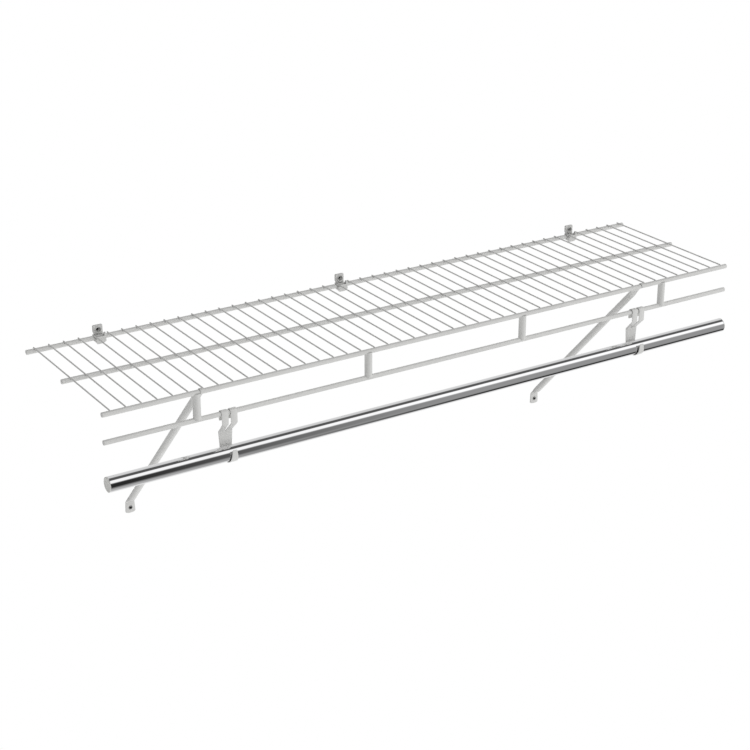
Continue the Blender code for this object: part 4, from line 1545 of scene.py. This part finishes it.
@dataclass
class HangingRod:
    """The chromed hanging tube and the plugs in its ends."""

    diameter: float = 0.0245
    wall: float = 0.0010
    length: float = 1.2142
    flange: float = 0.0009
    plug: float = 0.0120
    plug_wall: float = 0.0016
    rim: float = 0.0006
    centre: float = 0.0001
    sides: int = 128
    spans: int = 16
    cap_sides: int = 96

    @property
    def middle(self) -> Vector:
        """The middle of the rod's axis."""
        z = PLAN.lip_z - PLAN.cup_drop - PLAN.cup_radius + PLAN.gap + self.diameter / 2
        return Vector((PLAN.at(self.length / 2), PLAN.front_y - PLAN.cup_forward, z))

    def build(self, finishes: Finishes) -> None:
        """Build the tube and its two plugs.

        Args:
            finishes: Where the materials are kept.
        """
        radius = self.diameter / 2
        inner = radius - self.wall
        half = self.length / 2 - self.flange - PLAN.gap
        edge = self.wall * 0.3
        shares = [index / self.spans for index in range(self.spans + 1)]
        profile = [
            (inner, -half + edge),
            (inner, half - edge),
            (inner + edge, half),
            (radius - edge, half),
            *((radius, blend(half - edge, edge - half, share)) for share in shares),
            (radius - edge, -half),
            (inner + edge, -half),
        ]
        place = Matrix.Translation(self.middle) @ TO_RIGHT
        mesh = Sculptor.solid(Sculptor.turned, profile, self.sides, place, True)
        finishes.dress(mesh, "closet_rod_chromed", Slot.CHROME, Body.ROD, ("closet_rod",))
        for name, side in (("rod_cap_left", -1), ("rod_cap_right", 1)):
            seat = self.middle + Vector(((half + PLAN.gap) * side, 0, 0))
            place = Matrix.Translation(seat) @ Matrix.Rotation(QUARTER * side, 4, "Y")
            cap = self.cap_profile(radius, inner)
            mesh = Sculptor.solid(Sculptor.turned, cap, self.cap_sides, place)
            finishes.dress(mesh, f"{name}_moulded", Slot.CAP, Body.ROD, (name,))

    def cap_profile(self, radius: float, inner: float) -> list[Point]:
        """Return a plug's profile: a domed flange with a shallow dish, and a hollow plug.

        Args:
            radius: Radius of the tube.
            inner: Radius of its bore.

        Returns:
            Points of radius and height, from the dish to the plug's inside.
        """
        plug = inner - PLAN.gap
        bore = plug - self.plug_wall
        rim, face = self.rim, self.flange
        return [
            (self.centre, face - rim * 0.7),
            (radius * 0.62, face - rim * 0.7),
            (radius * 0.68, face - rim * 0.5),
            (radius * 0.72, face),
            (radius - rim, face),
            (radius - rim * 0.3, face - rim * 0.3),
            (radius, face - rim),
            (radius, rim * 0.2),
            (radius - rim * 0.2, 0),
            (plug, 0),
            (plug, -self.plug * 0.9),
            (plug - rim * 0.5, -self.plug),
            (bore, -self.plug),
            (bore, -rim),
            (self.centre, -rim),
        ]


@dataclass
class Studio:
    """The camera at the photograph's angle, the floor and the soft light."""

    eye: tuple[float, float, float] = (-1.4821, -2.4419, 1.0310)
    azimuth: float = -32.54
    elevation: float = 22.865
    lens: float = 83.235
    sensor: float = 36.0
    picture: int = 750
    shift_right: float = -0.17
    shift_up: float = 0.31
    far: float = 200.0
    floor_z: float = -1.7
    floor_half: float = 60.0
    floor_thickness: float = 0.1
    # What the chromed rod mirrors, by the angle from straight ahead of the shelf (0)
    # over the top (90) to the wall side (180): a long soft box above the front, a dim
    # room in front, and pale walls and floor, with dark gaps between them.  Each row is
    # the angle, then the light toward the left and toward the right.
    bands: tuple[tuple[float, float, float], ...] = (
        (-180, 0.80, 0.80),
        (-98, 0.82, 0.82),
        (-91, 0.54, 0.08),
        (-88, 0.52, 0.03),
        (-58, 0.46, 0.05),
        (-51, 0.34, 0.31),
        (-25, 0.02, 0.33),
        (14, 0.02, 0.31),
        (24, 0.10, 0.42),
        (36, 1.05, 1.15),
        (67, 1.05, 1.15),
        (74, 0.12, 0.14),
        (84, 0.09, 0.10),
        (109, 0.10, 0.10),
        (119, 0.68, 0.68),
        (180, 0.78, 0.78),
    )
    # Where between left and right the one column of light gives way to the other.
    turn_from: float = 0.34
    turn_to: float = 0.56
    # Soft light on the coated steel: its mean, how it leans toward +X, +Y and +Z, and
    # how much more comes along one line, from above the front.
    ambient: float = 0.47
    lean: tuple[float, float, float] = (0.24, -0.06, -0.43)
    line: tuple[float, float, float] = (0.0, -0.70, 0.714)
    line_light: float = 0.72
    # A weak soft box at the right: its place, side and power in watts.
    lamp_at: tuple[float, float, float] = (2.4, -1.8, 0.3)
    lamp_aim: tuple[float, float, float] = (0.02, -0.15, -0.08)
    lamp_size: float = 1.0
    lamp_power: float = 6.0

    def camera(self) -> None:
        """Set up the camera as it was solved from the photograph."""
        data = bpy.data.cameras.new("camera")
        right, up = self.shift_right / self.picture, self.shift_up / self.picture
        configure(data, lens=self.lens, clip_end=self.far, shift_x=right, shift_y=up)
        configure(data, sensor_width=self.sensor, sensor_fit="HORIZONTAL")
        turn = (QUARTER - math.radians(self.elevation), 0, math.radians(self.azimuth))
        camera = add_object("camera", data, location=self.eye, rotation_euler=turn)
        bpy.context.scene.camera = camera

    def floor(self) -> None:
        """Lay the plain pale floor, as far below as a closet's floor is."""
        material = bpy.data.materials.new("pale_floor")
        material.use_nodes = True
        tree = material.node_tree
        tree.nodes.clear()
        white = {"Color": linear_colour("#FFFFFF"), "Strength": 1.0}
        glow = add_node(tree, "ShaderNodeEmission", white)
        add_node(tree, "ShaderNodeOutputMaterial", {"Surface": glow.outputs[0]})
        half, level = self.floor_half, self.floor_z
        low, high = Vector((-half, -half, level - self.floor_thickness)), Vector((half, half, level))
        mesh = Sculptor.solid(Sculptor.block, low, high)
        mesh.name = "floor"
        mesh.materials.append(material)
        floor = add_object("floor", mesh, visible_glossy=False, visible_diffuse=False)

    def ramp(self, tree: NodeTree, share: NodeSocket, column: int) -> NodeSocket:
        """Add the bands of one side as a colour ramp.

        Args:
            tree: The world's node tree.
            share: The angle as a share of a full turn.
            column: Which of a band's columns to read.

        Returns:
            The ramp's colour.
        """
        node = add_node(tree, "ShaderNodeValToRGB", {"Fac": share})
        stops = node.color_ramp.elements
        for index, band in enumerate(self.bands):
            spot = (band[0] + 180) / 360
            stop = stops[index] if index < 2 else stops.new(spot)
            stop.position = spot
            stop.color = (band[column], band[column], band[column], 1)
        return node.outputs["Color"]

    def mirrored(self, tree: NodeTree, place: NodeSocket) -> NodeSocket:
        """Add the bands that the chromed rod mirrors.

        Args:
            tree: The world's node tree.
            place: The direction looked at.

        Returns:
            The bands' colour.
        """
        split = add_node(tree, "ShaderNodeSeparateXYZ", {"Vector": place}).outputs
        ahead = add_node(tree, "ShaderNodeMath", {0: split["Y"], 1: -1.0}, operation="MULTIPLY")
        sides = {0: split["Z"], 1: ahead.outputs[0]}
        angle = add_node(tree, "ShaderNodeMath", sides, operation="ARCTAN2")
        circle = {"Value": angle.outputs[0], "From Min": -math.pi, "From Max": math.pi}
        share = add_node(tree, "ShaderNodeMapRange", circle).outputs["Result"]
        span = {"Value": split["X"], "From Min": self.turn_from, "From Max": self.turn_to}
        turn = add_node(tree, "ShaderNodeMapRange", span, interpolation_type="SMOOTHSTEP")
        left, right = self.ramp(tree, share, 1), self.ramp(tree, share, 2)
        both = {"Factor": turn.outputs["Result"], 6: left, 7: right}
        return add_node(tree, "ShaderNodeMix", both, data_type="RGBA").outputs[2]

    def soft(self, tree: NodeTree, place: NodeSocket) -> NodeSocket:
        """Add the soft light on everything that isn't a mirror.

        Args:
            tree: The world's node tree.
            place: The direction looked at.

        Returns:
            The light's strength.
        """
        leaning, along = (
            add_node(tree, "ShaderNodeVectorMath", {0: place, 1: axis}, operation="DOT_PRODUCT")
            for axis in (self.lean, self.line)
        )
        twice = {0: along.outputs["Value"], 1: along.outputs["Value"]}
        squared = add_node(tree, "ShaderNodeMath", twice, operation="MULTIPLY")
        parts = {0: leaning.outputs["Value"], 1: self.ambient}
        base = add_node(tree, "ShaderNodeMath", parts, operation="ADD")
        parts = {0: squared.outputs[0], 1: self.line_light, 2: base.outputs[0]}
        return add_node(tree, "ShaderNodeMath", parts, operation="MULTIPLY_ADD").outputs[0]

    def dome(self) -> None:
        """Light the room softly, with bands for the mirror and plain white for the eye."""
        world = bpy.data.worlds.new("studio")
        bpy.context.scene.world = world
        world.use_nodes = True
        tree = world.node_tree
        tree.nodes.clear()
        place = add_node(tree, "ShaderNodeTexCoord").outputs["Generated"]
        ray = add_node(tree, "ShaderNodeLightPath").outputs
        colours = (self.soft(tree, place), self.mirrored(tree, place), (1, 1, 1, 1))
        lit, room, seen = (
            add_node(tree, "ShaderNodeBackground", {"Color": colour, "Strength": 1.0}).outputs[0]
            for colour in colours
        )
        parts = {0: ray["Is Glossy Ray"], 1: lit, 2: room}
        glossy = add_node(tree, "ShaderNodeMixShader", parts)
        parts = {0: ray["Is Camera Ray"], 1: glossy.outputs[0], 2: seen}
        whole = add_node(tree, "ShaderNodeMixShader", parts)
        add_node(tree, "ShaderNodeOutputWorld", {"Surface": whole.outputs[0]})

    def lamp(self) -> None:
        """Add the soft box that faces the shelf."""
        data = bpy.data.lights.new("key", "AREA")
        configure(data, shape="SQUARE", size=self.lamp_size, energy=self.lamp_power)
        aim = Vector(self.lamp_aim) - Vector(self.lamp_at)
        turn = aim.to_track_quat("-Z", "Y").to_euler()
        add_object("key", data, location=self.lamp_at, rotation_euler=turn, visible_glossy=False)

    def build(self) -> None:
        """Set up everything that isn't the shelf."""
        bpy.context.scene.view_settings.view_transform = "Standard"
        self.camera()
        self.floor()
        self.dome()
        self.lamp()


def main() -> None:
    """Load the frame, build every sub-assembly and the studio, and log each piece's faces and body."""
    logging.basicConfig(level=logging.INFO, format="%(name)s: %(message)s")
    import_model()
    finishes = Finishes()
    rods = LongRods()
    rods.build(finishes)
    Deck().build(finishes, rods)
    Posts().build(finishes)
    WallClips().build(finishes)
    Brace("left", 0.16215, Body.LEFT_BRACE).build(finishes)
    Brace("right", 1.02225, Body.RIGHT_BRACE).build(finishes)
    Hanger("left", 0.20595, Body.LEFT_HANGER).build(finishes)
    Hanger("right", 1.0140, Body.RIGHT_HANGER).build(finishes)
    HangingRod().build(finishes)
    Studio().build()


if __name__ == "__main__":
    main()
